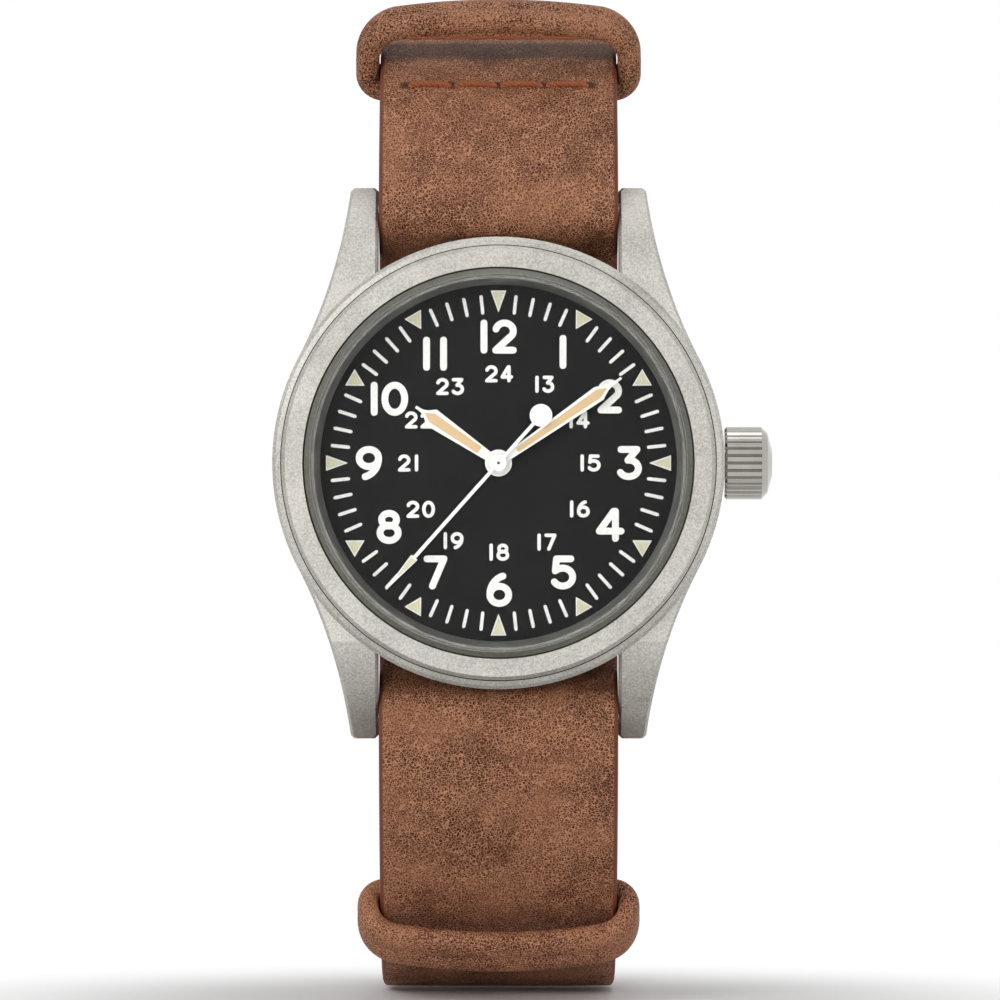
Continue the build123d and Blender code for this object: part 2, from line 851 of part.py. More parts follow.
def make_buckle_frame():
    """The buckle's frame: two arms on the pin and the outer bar that the tail passes under."""
    arm_x = strap_width / 2 + buckle_side_gap + buckle_wire / 2
    pin_y = back_depth - tail_offset
    bar_y = back_depth + main_thick / 2 + buckle_lift + buckle_wire / 2
    bar_height = pin_height - buckle_length
    knee = (bar_y, pin_height - buckle_knee)
    arm = rod((pin_y, pin_height), knee, buckle_wire) + rod(knee, (bar_y, bar_height), buckle_wire)
    frame = []
    limb = widen(arm, buckle_wire)
    cheeks = limb.faces().sort_by(Axis.X)
    limb = chamfer(cheeks[0].edges() + cheeks[-1].edges(), buckle_edge)
    limb -= Pos(0, pin_y, pin_height) * Rot(0, 90, 0) * Cylinder(pin_radius, 2 * buckle_wire)
    for side in (1, -1):
        frame.append(Pos(side * arm_x, 0, 0) * limb)
    bar = Pos(0, bar_y, bar_height) * Rot(0, 90, 0) * Cylinder(buckle_wire / 2, 2 * arm_x + buckle_wire)
    return frame[0] + frame[1] + bar


def make_buckle_tongue():
    """The tongue: a hub on the pin, a short leg through the tail's hole and a finger down to the bar."""
    pin_y = back_depth - tail_offset
    finger_y = back_depth + main_thick / 2 + buckle_lift + buckle_wire + seat_gap + tongue_thick / 2
    leg = Pos((pin_y + finger_y) / 2, pin_height) * Rectangle(finger_y - pin_y, tongue_thick)
    end = pin_height - buckle_length - buckle_wire / 2
    finger = rod((finger_y, pin_height), (finger_y, end), tongue_thick)
    side_view = Pos(pin_y, pin_height) * Circle(tongue_hub_radius) + leg + finger
    side_view -= Pos(pin_y, pin_height) * Circle(pin_radius + running)
    return widen(side_view, tongue_width)


def stitch_row(spot):
    """A row of stitches that lie on the leather at a plane across the strap."""
    stitch = Rot(0, 90, 0) * Cylinder(stitch_radius, stitch_length)
    stitch &= Box(
        stitch_length, stitch_radius, 2 * stitch_radius, align=(Align.CENTER, Align.MAX, Align.CENTER),
    )
    stitches = []
    for count in range(stitch_count):
        x = (count - (stitch_count - 1) / 2) * stitch_pitch
        stitches.append(spot.location * Pos(x, 0, 0) * stitch)
    return stitches


def gear(teeth, module, foot, top, bore, phase=0.0):
    """A flat wheel with narrow flat tips; one tooth points at the phase, in degrees."""
    pitch_radius = teeth * module / 2
    tip = pitch_radius + tooth_tip_share * module
    root = pitch_radius - tooth_root_share * module
    points = []
    for tooth in range(teeth):
        middle = math.radians(phase) + 2 * math.pi * tooth / teeth
        step = 2 * math.pi / teeth
        for radius, turn in ((tip, -tooth_tip_width_share), (tip, tooth_tip_width_share), (root, 1 / 2)):
            angle = middle + turn * step
            points.append((radius * math.cos(angle), radius * math.sin(angle)))
    wheel = extrude(Pos(0, 0, foot) * make_face(Polyline(*points, close=True)), top - foot)
    return wheel - disc(bore, foot - overrun, top + overrun)


def crossed(wheel, teeth, module, pinion_teeth, pinion_module, foot, top):
    """Cut the web of a wheel away between its spokes, outside its pinion."""
    outer = (teeth / 2 - tooth_root_share) * module - rim_width
    inner = (pinion_teeth / 2 + tooth_tip_share) * pinion_module + hub_wall
    web = ring(outer, inner, foot - seat_gap, top + seat_gap)
    arm = Pos(0, 0, foot - overrun) * Box(
        2 * outer, spoke_width, 2 * overrun, align=(Align.MIN, Align.CENTER, Align.MIN)
    )
    return wheel - (web - PolarLocations(0, spoke_count) * arm)


def meshed(phase, teeth, toward, other_teeth):
    """The phase of a gear that meshes with another gear, in the direction toward it, in degrees."""
    return toward + 180 + 180 / other_teeth - (phase - toward) * teeth / other_teeth


def polar(radius, angle):
    """A place on the movement from its distance and direction, in degrees from 3 o'clock."""
    return Pos(radius * math.cos(math.radians(angle)), radius * math.sin(math.radians(angle)), 0)


def arbor(radius, foot, top, pivot_radius, pivot_length):
    """A wheel's axle with a thin pivot at each end."""
    body = disc(radius, foot + pivot_length, top - pivot_length)
    return body + disc(pivot_radius, foot, top)


def pointer(reach, hub, neck, shoulder_reach, shoulder, bore, foot, angle):
    """A lozenge hand at a height on the bench and an angle clockwise from 12 o'clock."""
    plan = Circle(hub) + make_face(
        Polyline(
            (neck, 0),
            (shoulder, shoulder_reach),
            (hand_tip_halfwidth, reach),
            (-hand_tip_halfwidth, reach),
            (-shoulder, shoulder_reach),
            (-neck, 0),
            close=True,
        )
    )
    hand = extrude(Pos(0, 0, foot) * plan, hand_thick) - disc(bore, foot - overrun, foot + overrun)
    return Rot(0, 0, -angle) * hand


def make_seconds_hand():
    """The seconds hand with its cap, counterweight and arrow."""
    foot = hand_foot + 2 * hand_spacing
    top = foot + seconds_thick
    arrow = make_face(
        Polyline(
            (seconds_lume_halfwidth, seconds_lume_start),
            (seconds_shaft_halfwidth, seconds_lume_end),
            (hand_tip_halfwidth, seconds_hand_reach),
            (-hand_tip_halfwidth, seconds_hand_reach),
            (-seconds_shaft_halfwidth, seconds_lume_end),
            (-seconds_lume_halfwidth, seconds_lume_start),
            close=True,
        )
    )
    shaft = Pos(0, (seconds_lume_start - seconds_tail_reach) / 2) * Rectangle(
        2 * seconds_shaft_halfwidth, seconds_lume_start + seconds_tail_reach
    )
    plan = arrow + shaft + Pos(0, -seconds_tail_reach) * Circle(seconds_tail_radius)
    hand = extrude(Pos(0, 0, foot) * plan, seconds_thick) + disc(
        seconds_cap_radius, foot, top + seconds_thick,
    )
    hand -= disc(fourth_post_radius, foot - overrun, foot + seconds_thick)
    return Rot(0, 0, -seconds_angle) * hand


# The going train's modules follow from its distances.
# Its phases follow from one tooth at 3 o'clock on the fourth wheel.
barrel_module = 2 * barrel_distance / (barrel_teeth + centre_pinion_teeth)
centre_module = 2 * third_distance / (centre_teeth + third_pinion_teeth)
third_module = 2 * third_distance / (third_teeth + fourth_pinion_teeth)
fourth_module = 2 * escape_distance / (fourth_teeth + escape_pinion_teeth)
motion_distance = motion_module * (cannon_teeth + minute_wheel_teeth) / 2
setting_distance = motion_distance + motion_module * (minute_wheel_teeth + setting_teeth) / 2
ratchet_spot = polar(barrel_distance, barrel_angle).position
to_crown_wheel = Vector(crown_wheel_x, 0) - Vector(ratchet_spot.X, ratchet_spot.Y)
winding_module = 2 * to_crown_wheel.length / (ratchet_teeth + crown_wheel_teeth)
fourth_foot = bridge_top + plate_gap
fourth_top = fourth_foot + wheel_thick
third_foot = fourth_top + plate_gap
drum_foot = fourth_top + plate_gap
drum_top = drum_foot + barrel_height
centre_foot = mainplate_foot - 2 * wheel_thick
motion_foot = mainplate_top + seat_gap
hour_wheel_foot = motion_foot + wheel_thick + seat_gap
spots = {
    "third": polar(third_distance, third_angle),
    "escape": polar(escape_distance, escape_angle),
    "balance": Pos(balance_x, balance_y, 0),
}
to_balance = spots["balance"].position - spots["escape"].position
balance_direction = math.degrees(math.atan2(to_balance.Y, to_balance.X))
spots["pallet"] = spots["escape"] * polar(pallet_distance, balance_direction)


def feet_at(shares):
    """The places of a bridge's feet, from their shares of the movement's radius."""
    return [(across * movement_radius, up * movement_radius) for across, up in shares]


barrel_feet = feet_at(barrel_feet_shares)
train_feet = feet_at(train_feet_shares)
cock_feet = feet_at(cock_feet_shares)
pallet_feet = feet_at(pallet_feet_shares)
screwed_feet = barrel_feet + train_feet + cock_feet


def make_train():
    """Wheels and pinions from the barrel to the escape wheel, each with its arbor."""
    third_pinion_phase = meshed(0, centre_teeth, third_angle, third_pinion_teeth)
    third_phase = meshed(0, fourth_pinion_teeth, third_angle, third_teeth)
    barrel_phase = meshed(0, centre_pinion_teeth, barrel_angle, barrel_teeth)
    escape_phase = meshed(0, fourth_teeth, escape_angle, escape_pinion_teeth)
    centre = gear(centre_teeth, centre_module, centre_foot, centre_foot + wheel_thick, centre_bore_radius)
    pinion_foot = drum_top - 2 * wheel_thick
    centre += gear(centre_pinion_teeth, barrel_module, pinion_foot, centre_foot, centre_bore_radius)
    centre += ring(centre_arbor_radius, centre_bore_radius, centre_foot, dial_top)
    centre = crossed(
        centre, centre_teeth, centre_module, centre_pinion_teeth, barrel_module, centre_foot,
        centre_foot + wheel_thick
    )
    fourth = gear(fourth_teeth, fourth_module, fourth_foot, fourth_top, fourth_post_radius)
    fourth += gear(
        fourth_pinion_teeth, third_module, fourth_top, pinion_foot - plate_gap, fourth_post_radius,
    )
    fourth += disc(
        fourth_post_radius, movement_foot + seat_gap, hand_foot + 2 * hand_spacing + seconds_thick,
    )
    fourth = crossed(
        fourth, fourth_teeth, fourth_module, fourth_pinion_teeth, third_module, fourth_foot, fourth_top,
    )
    low = movement_foot + seat_gap
    high = mainplate_top - seat_gap
    third = gear(third_teeth, third_module, third_foot, third_foot + wheel_thick, arbor_radius, third_phase)
    third += gear(
        third_pinion_teeth, centre_module, centre_foot - wheel_thick, mainplate_foot - plate_gap,
        arbor_radius,
        third_pinion_phase,
    )
    third += arbor(arbor_radius, low, high, pivot_radius, bridge_thick)
    third_top = third_foot + wheel_thick
    third = crossed(
        third, third_teeth, third_module, third_pinion_teeth, centre_module, third_foot, third_top,
    )
    escape_foot = third_foot + 3 * wheel_thick
    tip = escape_radius
    points = []
    for tooth in range(escape_teeth):
        start = 2 * math.pi * tooth / escape_teeth
        step = 2 * math.pi / escape_teeth
        for radius, turn in (
            (tip, 0), (tip, escape_tip_share), (escape_root_share * tip, escape_back_share),
        ):
            points.append((radius * math.cos(start + turn * step), radius * math.sin(start + turn * step)))
    escape = extrude(Pos(0, 0, escape_foot) * make_face(Polyline(*points, close=True)), wheel_thick)
    escape += gear(
        escape_pinion_teeth, fourth_module, fourth_foot - seat_gap, third_foot + wheel_thick,
        arbor_radius, escape_phase
    )
    escape += arbor(arbor_radius, low, high, pivot_radius, bridge_thick)
    barrel = gear(
        barrel_teeth, barrel_module, drum_top - wheel_thick, drum_top, barrel_arbor_radius + running,
        barrel_phase
    )
    barrel += ring(barrel_drum_radius, barrel_drum_radius - barrel_wall, drum_foot, drum_top)
    barrel += ring(barrel_drum_radius, barrel_arbor_radius + running, drum_foot, drum_foot + barrel_wall)
    return {
        "centre_wheel": centre,
        "fourth_wheel": fourth,
        "third_wheel": spots["third"] * third,
        "escape_wheel": spots["escape"] * escape,
        "barrel": polar(barrel_distance, barrel_angle) * barrel,
    }


def coil(inner, outer, turns, foot, top):
    """A flat spiral ribbon of half circles, a quarter as thick as its pitch."""
    step = (outer - inner) / (2 * turns)
    sides = []
    for offset in (0, step / 2):
        at = -inner - offset
        side = []
        for half in range(2 * turns - 1):
            sign = 1 if half % 2 == 0 else -1
            radius = inner + offset + (half + 1 / 2) * step
            end = at + sign * 2 * radius
            side.append(ThreePointArc((at, 0), ((at + end) / 2, sign * radius), (end, 0)))
            at = end
        sides.append(side)
    ends = [Line(sides[0][0] @ 0, sides[1][0] @ 0), Line(sides[0][-1] @ 1, sides[1][-1] @ 1)]
    return extrude(Pos(0, 0, foot) * make_face(sides[0] + sides[1] + ends), top - foot)


def make_mainspring():
    """The mainspring, wound in the drum between the arbor and the wall."""
    outer = barrel_drum_radius - barrel_wall - seat_gap
    foot = drum_foot + barrel_wall + seat_gap
    ribbon = coil(
        barrel_arbor_radius + running, outer, mainspring_turns, foot, drum_top - wheel_thick - seat_gap,
    )
    return polar(barrel_distance, barrel_angle) * ribbon


def make_hairspring():
    """The hairspring, coiled round the balance staff between the rim and the fork."""
    foot = bridge_top + plate_gap + balance_thick + seat_gap
    return spots["balance"] * coil(
        arbor_radius + running, hairspring_radius, hairspring_turns, foot, foot + wheel_thick,
    )


def make_barrel_arbor():
    """The barrel's arbor, whose narrow end carries the ratchet wheel."""
    body = disc(barrel_arbor_radius, movement_foot - winding_gap, mainplate_foot + wheel_thick)
    body += disc(ratchet_seat_radius, movement_foot - winding_gap - winding_thick, movement_foot)
    return polar(barrel_distance, barrel_angle) * body


def make_winding_wheels():
    """Ratchet wheel and crown wheel on the back of the barrel bridge."""
    top = movement_foot - winding_gap
    toward = math.degrees(math.atan2(to_crown_wheel.Y, to_crown_wheel.X))
    crown_phase = meshed(0, ratchet_teeth, toward, crown_wheel_teeth)
    ratchet = gear(ratchet_teeth, winding_module, top - winding_thick, top, ratchet_seat_radius)
    wheel = gear(
        crown_wheel_teeth, winding_module, top - winding_thick, top - winding_thick + crown_wheel_thick,
        crown_post_radius + running, crown_phase,
    )
    return polar(barrel_distance, barrel_angle) * ratchet, Pos(crown_wheel_x, 0, 0) * wheel


def plate_with_holes(plan, foot, top, holes):
    """A plate from its plan, with round holes given as (place, radius)."""
    plate = extrude(Pos(0, 0, foot) * plan, top - foot)
    for place_of_hole, radius in holes:
        plate -= place_of_hole * disc(radius, foot - overrun, top + overrun)
    return plate


def movement_part(*regions):
    """The part of the movement's plan in these rectangles (left, low, right, high)."""
    whole = Circle(movement_radius)
    parts = []
    for left, low, right, high in regions:
        box = Pos((left + right) / 2, (low + high) / 2) * Rectangle(right - left, high - low)
        parts.append(whole & box)
    plan = parts[0]
    for part in parts[1:]:
        plan += part
    return plan


def make_plates():
    """Mainplate and bridges with their feet, bored for jewels, arbors, screws and the winding work."""
    edge = movement_radius + overrun
    stem_slot = Pos(winding_slot_start, 0, stem_z) * Box(
        edge - winding_slot_start, 2 * winding_slot_halfwidth, 2 * winding_slot_halfwidth,
        align=(Align.MIN, Align.CENTER, Align.CENTER),
    )
    lever_slot = Pos(stem_groove_start + stem_groove_width / 2, 0, mainplate_foot) * Box(
        2 * (crown_pull + lever_pin_radius + slot_room), 2 * (lever_pin_radius + slot_room), 2 * overrun
    )
    yoke_slot = Pos(yoke_finger_x, yoke_finger_y, mainplate_foot) * Box(
        2 * (sliding_shift + lever_pin_radius + slot_room), 2 * (lever_pin_radius + slot_room), 2 * overrun
    )
    jewelled = [spots[name] for name in ("third", "escape", "pallet", "balance")]
    holes = [(spot, jewel_radius) for spot in jewelled]
    screws = [(Pos(x, y, 0), screw_radius) for x, y in screwed_feet]
    centre_hole = [(Pos(0, 0, 0), centre_arbor_radius + running)]
    barrel_spot = polar(barrel_distance, barrel_angle)
    barrel_hole = [(barrel_spot, barrel_arbor_radius + running)]
    peg_holes = [(Pos(x, y, 0), dial_peg_radius + running) for x, y in feet_at(dial_peg_shares)]
    mainplate = plate_with_holes(
        Circle(movement_radius), mainplate_foot, mainplate_top,
        holes + screws + centre_hole + barrel_hole + peg_holes,
    )
    mainplate += Pos(polar(motion_distance, 0).position) * disc(
        post_radius, mainplate_top, motion_foot + 2 * wheel_thick,
    )
    mainplate += Pos(setting_distance, 0, 0) * disc(post_radius, mainplate_top, motion_foot + wheel_thick)
    for x, y in ((lever_pivot_x, lever_pivot_y), (yoke_pivot_x, yoke_pivot_y)):
        mainplate += Pos(x, y, 0) * disc(post_radius, mainplate_top, motion_foot + lever_thick)
    mainplate -= [lever_slot, yoke_slot, stem_slot]

    foot, top = movement_foot, bridge_top
    barrel_plan = movement_part((-edge, barrel_line, edge, edge), (keyless_left, keyless_low, edge, edge))
    train_plan = movement_part(
        (-edge, -edge, balance_line, train_line),
        (-edge, keyless_low, keyless_left - bridge_slit, train_line),
    )
    train_plan -= Pos(balance_x, balance_y) * Circle(balance_radius + balance_room)
    cock_plan = rod((balance_x, balance_y), cock_feet[0], cock_width)
    barrel_bridge = plate_with_holes(barrel_plan, foot, top, barrel_hole + screws)
    pivot = click_places()[0]
    barrel_bridge += Pos(pivot.X, pivot.Y, 0) * disc(
        lever_pin_radius, foot - seat_gap - winding_thick, foot,
    )
    barrel_bridge += Pos(crown_wheel_x, 0, 0) * disc(
        crown_post_radius, foot - winding_gap - winding_thick, top,
    )
    train_bridge = plate_with_holes(
        train_plan, foot, top, holes + screws + [(Pos(0, 0, 0), fourth_post_radius + pivot_play)],
    )
    cock = plate_with_holes(cock_plan, foot, top, holes + screws)
    bridges = []
    for bridge, feet in ((barrel_bridge, barrel_feet), (train_bridge, train_feet), (cock, cock_feet)):
        for x, y in feet:
            bridge += Pos(x, y, 0) * ring(foot_radius, screw_radius, top, mainplate_foot)
        bridges.append(bridge - stem_slot)
    pallet_plan = rod(*pallet_feet, pallet_bridge_width)
    pallet_foot = third_foot + wheel_thick + plate_gap
    pallet_top = pallet_foot + pallet_bridge_thick
    pallet_bridge = plate_with_holes(
        pallet_plan, pallet_foot, pallet_top, [(spots["pallet"], pivot_radius + pivot_play)],
    )
    for x, y in pallet_feet:
        pallet_bridge += Pos(x, y, 0) * disc(pallet_foot_radius, pallet_top, mainplate_foot)
    return [mainplate] + bridges + [pallet_bridge]


def make_jewels():
    """Ring stones pressed in mainplate and bridges, round each pivot of the train."""
    jewels = []
    for name in ("third", "escape", "balance"):
        stone = ring(jewel_radius, pivot_radius + pivot_play, bridge_top - jewel_thick, bridge_top)
        jewels.append(spots[name] * stone)
    for name in ("third", "escape", "pallet", "balance"):
        stone = ring(jewel_radius, pivot_radius + pivot_play, mainplate_foot, mainplate_foot + jewel_thick)
        jewels.append(spots[name] * stone)
    return jewels


def screw(radius, head_radius, foot, head_foot, top):
    """A slotted screw that points up from its head: head_foot is the head's outer face."""
    body = disc(radius, foot, top) + disc(head_radius, head_foot, foot)
    return body - Pos(0, 0, head_foot) * Box(2 * head_radius, screw_slot, screw_slot)


def make_bridge_screws():
    """One screw for each foot of the bridges, from the back into the mainplate."""
    screws = []
    for x, y in screwed_feet:
        head_foot = movement_foot - screw_head_thick
        screws.append(
            Pos(x, y, 0) * screw(screw_radius, screw_head_radius, movement_foot, head_foot, mainplate_top)
        )
    return screws


def make_escapement():
    """Pallet fork, balance wheel with its staff, and hairspring."""
    low, high = movement_foot + seat_gap, mainplate_top - seat_gap
    fork_foot = third_foot + 3 * wheel_thick
    centre = spots["pallet"].position
    to_roller = spots["balance"].position - centre
    reach = to_roller.length - roller_radius - fork_gap
    turn = math.degrees(math.atan2(to_roller.Y, to_roller.X))
    arm = rod((0, 0), (reach, 0), fork_width)
    span = rod((-anchor_back, -anchor_halfspan), (-anchor_back, anchor_halfspan), fork_width)
    stem_bar = rod((0, 0), (-anchor_back, 0), fork_width)
    plan = arm + span + stem_bar
    for side in (1, -1):
        plan += rod(
            (-anchor_back, side * anchor_halfspan), (-stone_reach, side * anchor_halfspan), fork_width,
        )
    fork = extrude(Pos(0, 0, fork_foot) * plan, wheel_thick)
    pivot_foot = third_foot + wheel_thick + plate_gap
    fork += disc(pivot_radius, pivot_foot, high) + disc(arbor_radius, fork_foot, mainplate_foot - plate_gap)
    pallet = spots["pallet"] * Rot(0, 0, turn) * fork

    rim_foot = bridge_top + plate_gap
    rim = ring(balance_radius, balance_radius - balance_rim, rim_foot, rim_foot + balance_thick)
    spoke = Pos(0, 0, rim_foot) * Box(
        2 * balance_radius - balance_rim, balance_rim, wheel_thick, align=(Align.CENTER, Align.CENTER,
        Align.MIN)
    )
    staff = arbor(arbor_radius, low, high, pivot_radius, bridge_thick)
    roller = disc(roller_radius, fork_foot, fork_foot + wheel_thick)
    balance = spots["balance"] * (rim + spoke + staff + roller)
    return pallet, balance


def click_places():
    """Where the click's pivot and tip lie, beside the ratchet wheel's teeth."""
    hub = polar(barrel_distance, barrel_angle)
    tips = ratchet_teeth * winding_module / 2 + tooth_tip_share * winding_module
    pivot = (hub * polar(click_pivot_distance, click_pivot_angle)).position
    tip = (hub * polar(tips + click_width / 2 + seat_gap, click_tip_angle)).position
    return pivot, tip


def make_click():
    """The click, held off the ratchet's teeth as it is while the spring is wound."""
    pivot, tip = click_places()
    top = movement_foot - seat_gap
    plan = rod((pivot.X, pivot.Y), (tip.X, tip.Y), click_width)
    click = extrude(Pos(0, 0, top - winding_thick) * plan, winding_thick)
    return click - Pos(pivot.X, pivot.Y, 0) * disc(
        lever_pin_radius + running, movement_foot - overrun, movement_foot,
    )


def make_keyless():
    """Winding pinion and sliding pinion on the stem's square, and the two levers that shift them."""
    square = Box(
        stem_square_side + 2 * square_clearance, stem_square_side + 2 * square_clearance,
        2 * (sliding_pinion_length + overrun), align=Align.CENTER,
    )
    winding_end = winding_pinion_start + winding_pinion_length
    module = 2 * winding_pinion_radius / (winding_pinion_teeth + 2 * tooth_tip_share)
    winding = gear(
        winding_pinion_teeth, module, winding_pinion_start, winding_end, stem_radius + running
    )
    sliding_end = winding_pinion_start - sliding_pinion_gap
    sliding = disc(sliding_pinion_radius, sliding_end - sliding_pinion_length, sliding_end)
    groove_foot = yoke_finger_x - sliding_groove / 2
    sliding -= ring(sliding_pinion_radius + overrun, sliding_pinion_radius - sliding_groove, groove_foot,
                    groove_foot + sliding_groove)
    sliding -= Pos(0, 0, sliding_end) * square
    lever_x = stem_groove_start + stem_groove_width / 2
    lever_plan = rod((lever_pivot_x, lever_pivot_y), (lever_x, 0), lever_width)
    yoke_plan = rod((yoke_pivot_x, yoke_pivot_y), (yoke_finger_x, yoke_finger_y), lever_width)
    levers = []
    for plan, pivot, tip, pin_foot in (
        (lever_plan, (lever_pivot_x, lever_pivot_y), (lever_x, 0), stem_z + stem_groove_radius + seat_gap),
        (yoke_plan, (yoke_pivot_x, yoke_pivot_y), (yoke_finger_x, yoke_finger_y), stem_z + seat_gap),
    ):
        lever = extrude(Pos(0, 0, motion_foot) * plan, lever_thick)
        lever += Pos(*tip, 0) * disc(lever_pin_radius, pin_foot, motion_foot)
        levers.append(lever - Pos(*pivot, 0) * disc(post_radius + running, mainplate_foot, dial_foot))
    return along_x(winding, stem_z), along_x(sliding, stem_z), levers[0], levers[1]


def make_motion_work():
    """Cannon pinion, minute wheel, hour wheel and setting wheel, between mainplate and dial."""
    minute_phase = meshed(0, cannon_teeth, 0, minute_wheel_teeth)
    small_phase = 180 / minute_pinion_teeth
    hour_phase = meshed(small_phase, minute_pinion_teeth, 180, hour_wheel_teeth)
    setting_phase = meshed(minute_phase, minute_wheel_teeth, 0, setting_teeth)
    upper = hour_wheel_foot
    minute_foot = hand_foot + hand_spacing
    cannon = gear(
        cannon_teeth, motion_module, motion_foot, motion_foot + wheel_thick,
        centre_arbor_radius + running,
    )
    cannon += ring(
        cannon_radius, centre_arbor_radius + running, motion_foot + wheel_thick,
        minute_foot + hand_thick,
    )
    minute = gear(
        minute_wheel_teeth, motion_module, motion_foot, motion_foot + wheel_thick,
        post_radius + running, minute_phase,
    )
    minute += gear(
        minute_pinion_teeth, motion_module, motion_foot + wheel_thick, upper + wheel_thick,
        post_radius + running,
        small_phase,
    )
    hour = gear(
        hour_wheel_teeth, motion_module, upper, upper + wheel_thick, cannon_radius + running, hour_phase
    )
    hour += ring(hour_pipe_radius, cannon_radius + running, upper + wheel_thick, hand_foot + hand_thick)
    setting = gear(
        setting_teeth, motion_module, motion_foot, motion_foot + wheel_thick, post_radius + running,
        setting_phase,
    )
    return cannon, Pos(motion_distance, 0, 0) * minute, hour, Pos(setting_distance, 0, 0) * setting


def make_movement_ring():
    """The ring that centres the movement in the case, with a way through for the stem."""
    foot = case_foot + back_spigot_height + seat_gap
    holder = ring(case_bore_radius - running, movement_radius + running, foot, dial_foot)
    passage = Box(
        case_radius, 2 * tube_radius, 2 * tube_radius, align=(Align.MIN, Align.CENTER, Align.CENTER),
    )
    holder -= Pos(0, 0, stem_z) * passage
    holder -= Pos(0, 0, stem_z) * Box(
        movement_radius + crown_pull + lever_width, 2 * lever_room, overrun, align=(Align.MIN,
        Align.CENTER, Align.MIN)
    )
    return holder


def make_dial():
    """The dial: a disc with a hole for the hands and two feet that stand in the mainplate."""
    dial = ring(dial_radius, dial_bore_radius, dial_foot, dial_top)
    for x, y in feet_at(dial_peg_shares):
        dial += Pos(x, y, 0) * disc(dial_peg_radius, mainplate_foot, dial_foot)
    return dial


def make_gaskets():
    """Seals of the crystal, of the case back and of the crown."""
    crystal_seal = ring(
        bezel_bore_radius - running / 2, crystal_radius + running / 2, case_top + seat_gap,
        bezel_top - crystal_bevel,
    )
    back_seal = ring(
        back_spigot_radius - back_spigot_wall - running,
        back_spigot_radius - back_spigot_wall - 2 * gasket_wire,
        back_z + back_plate_thick, case_foot + back_spigot_height,
    )
    crown_seal = along_x(
        ring(
            crown_bore_radius - running, tube_radius + running, crown_start + seat_gap,
            crown_start + seat_gap + gasket_wire * 2,
        ),
        stem_z,
    )
    return crystal_seal, back_seal, crown_seal


def upright_nodes():
    """Every node of the case and the movement, drawn on the bench, by name."""
    hour_hand = pointer(
        hour_hand_reach, hour_hub_radius, hour_neck_halfwidth, hour_shoulder_reach, hour_shoulder_halfwidth,
        hour_pipe_radius, hand_foot, hour_angle,
    )
    minute_hand = pointer(
        minute_hand_reach, minute_hub_radius, minute_neck_halfwidth, minute_shoulder_reach,
        minute_shoulder_halfwidth, cannon_radius, hand_foot + hand_spacing, minute_angle,
    )
    mainplate, barrel_bridge, train_bridge, balance_cock, pallet_bridge = make_plates()
    pallet_fork, balance_wheel = make_escapement()
    ratchet_wheel, crown_wheel = make_winding_wheels()
    winding_pinion, sliding_pinion, setting_lever, yoke = make_keyless()
    cannon_pinion, minute_wheel, hour_wheel, setting_wheel = make_motion_work()
    crystal_gasket, back_gasket, crown_gasket = make_gaskets()
    return {
        "case_middle": make_case_middle(),
        "bezel": make_bezel(),
        "crystal": make_crystal(),
        "crystal_gasket": crystal_gasket,
        "flange_ring": make_flange_ring(),
        "case_back": make_case_back(),
        "back_gasket": back_gasket,
        "crown_tube": make_crown_tube(),
        "crown": make_crown(),
        "crown_gasket": crown_gasket,
        "winding_stem": make_stem(),
        "dial": make_dial(),
        "hour_hand": hour_hand,
        "minute_hand": minute_hand,
        "seconds_hand": make_seconds_hand(),
        "movement_ring": make_movement_ring(),
        "mainplate": mainplate,
        "barrel_bridge": barrel_bridge,
        "train_bridge": train_bridge,
        "balance_cock": balance_cock,
        "pallet_bridge": pallet_bridge,
        "bridge_screws": make_bridge_screws(),
        "jewels": make_jewels(),
        **make_train(),
        "mainspring": make_mainspring(),
        "barrel_arbor": make_barrel_arbor(),
        "ratchet_wheel": ratchet_wheel,
        "crown_wheel": crown_wheel,
        "click": make_click(),
        "pallet_fork": pallet_fork,
        "balance_wheel": balance_wheel,
        "hairspring": make_hairspring(),
        "winding_pinion": winding_pinion,
        "sliding_pinion": sliding_pinion,
        "setting_lever": setting_lever,
        "yoke": yoke,
        "cannon_pinion": cannon_pinion,
        "minute_wheel": minute_wheel,
        "hour_wheel": hour_wheel,
        "setting_wheel": setting_wheel,
    }


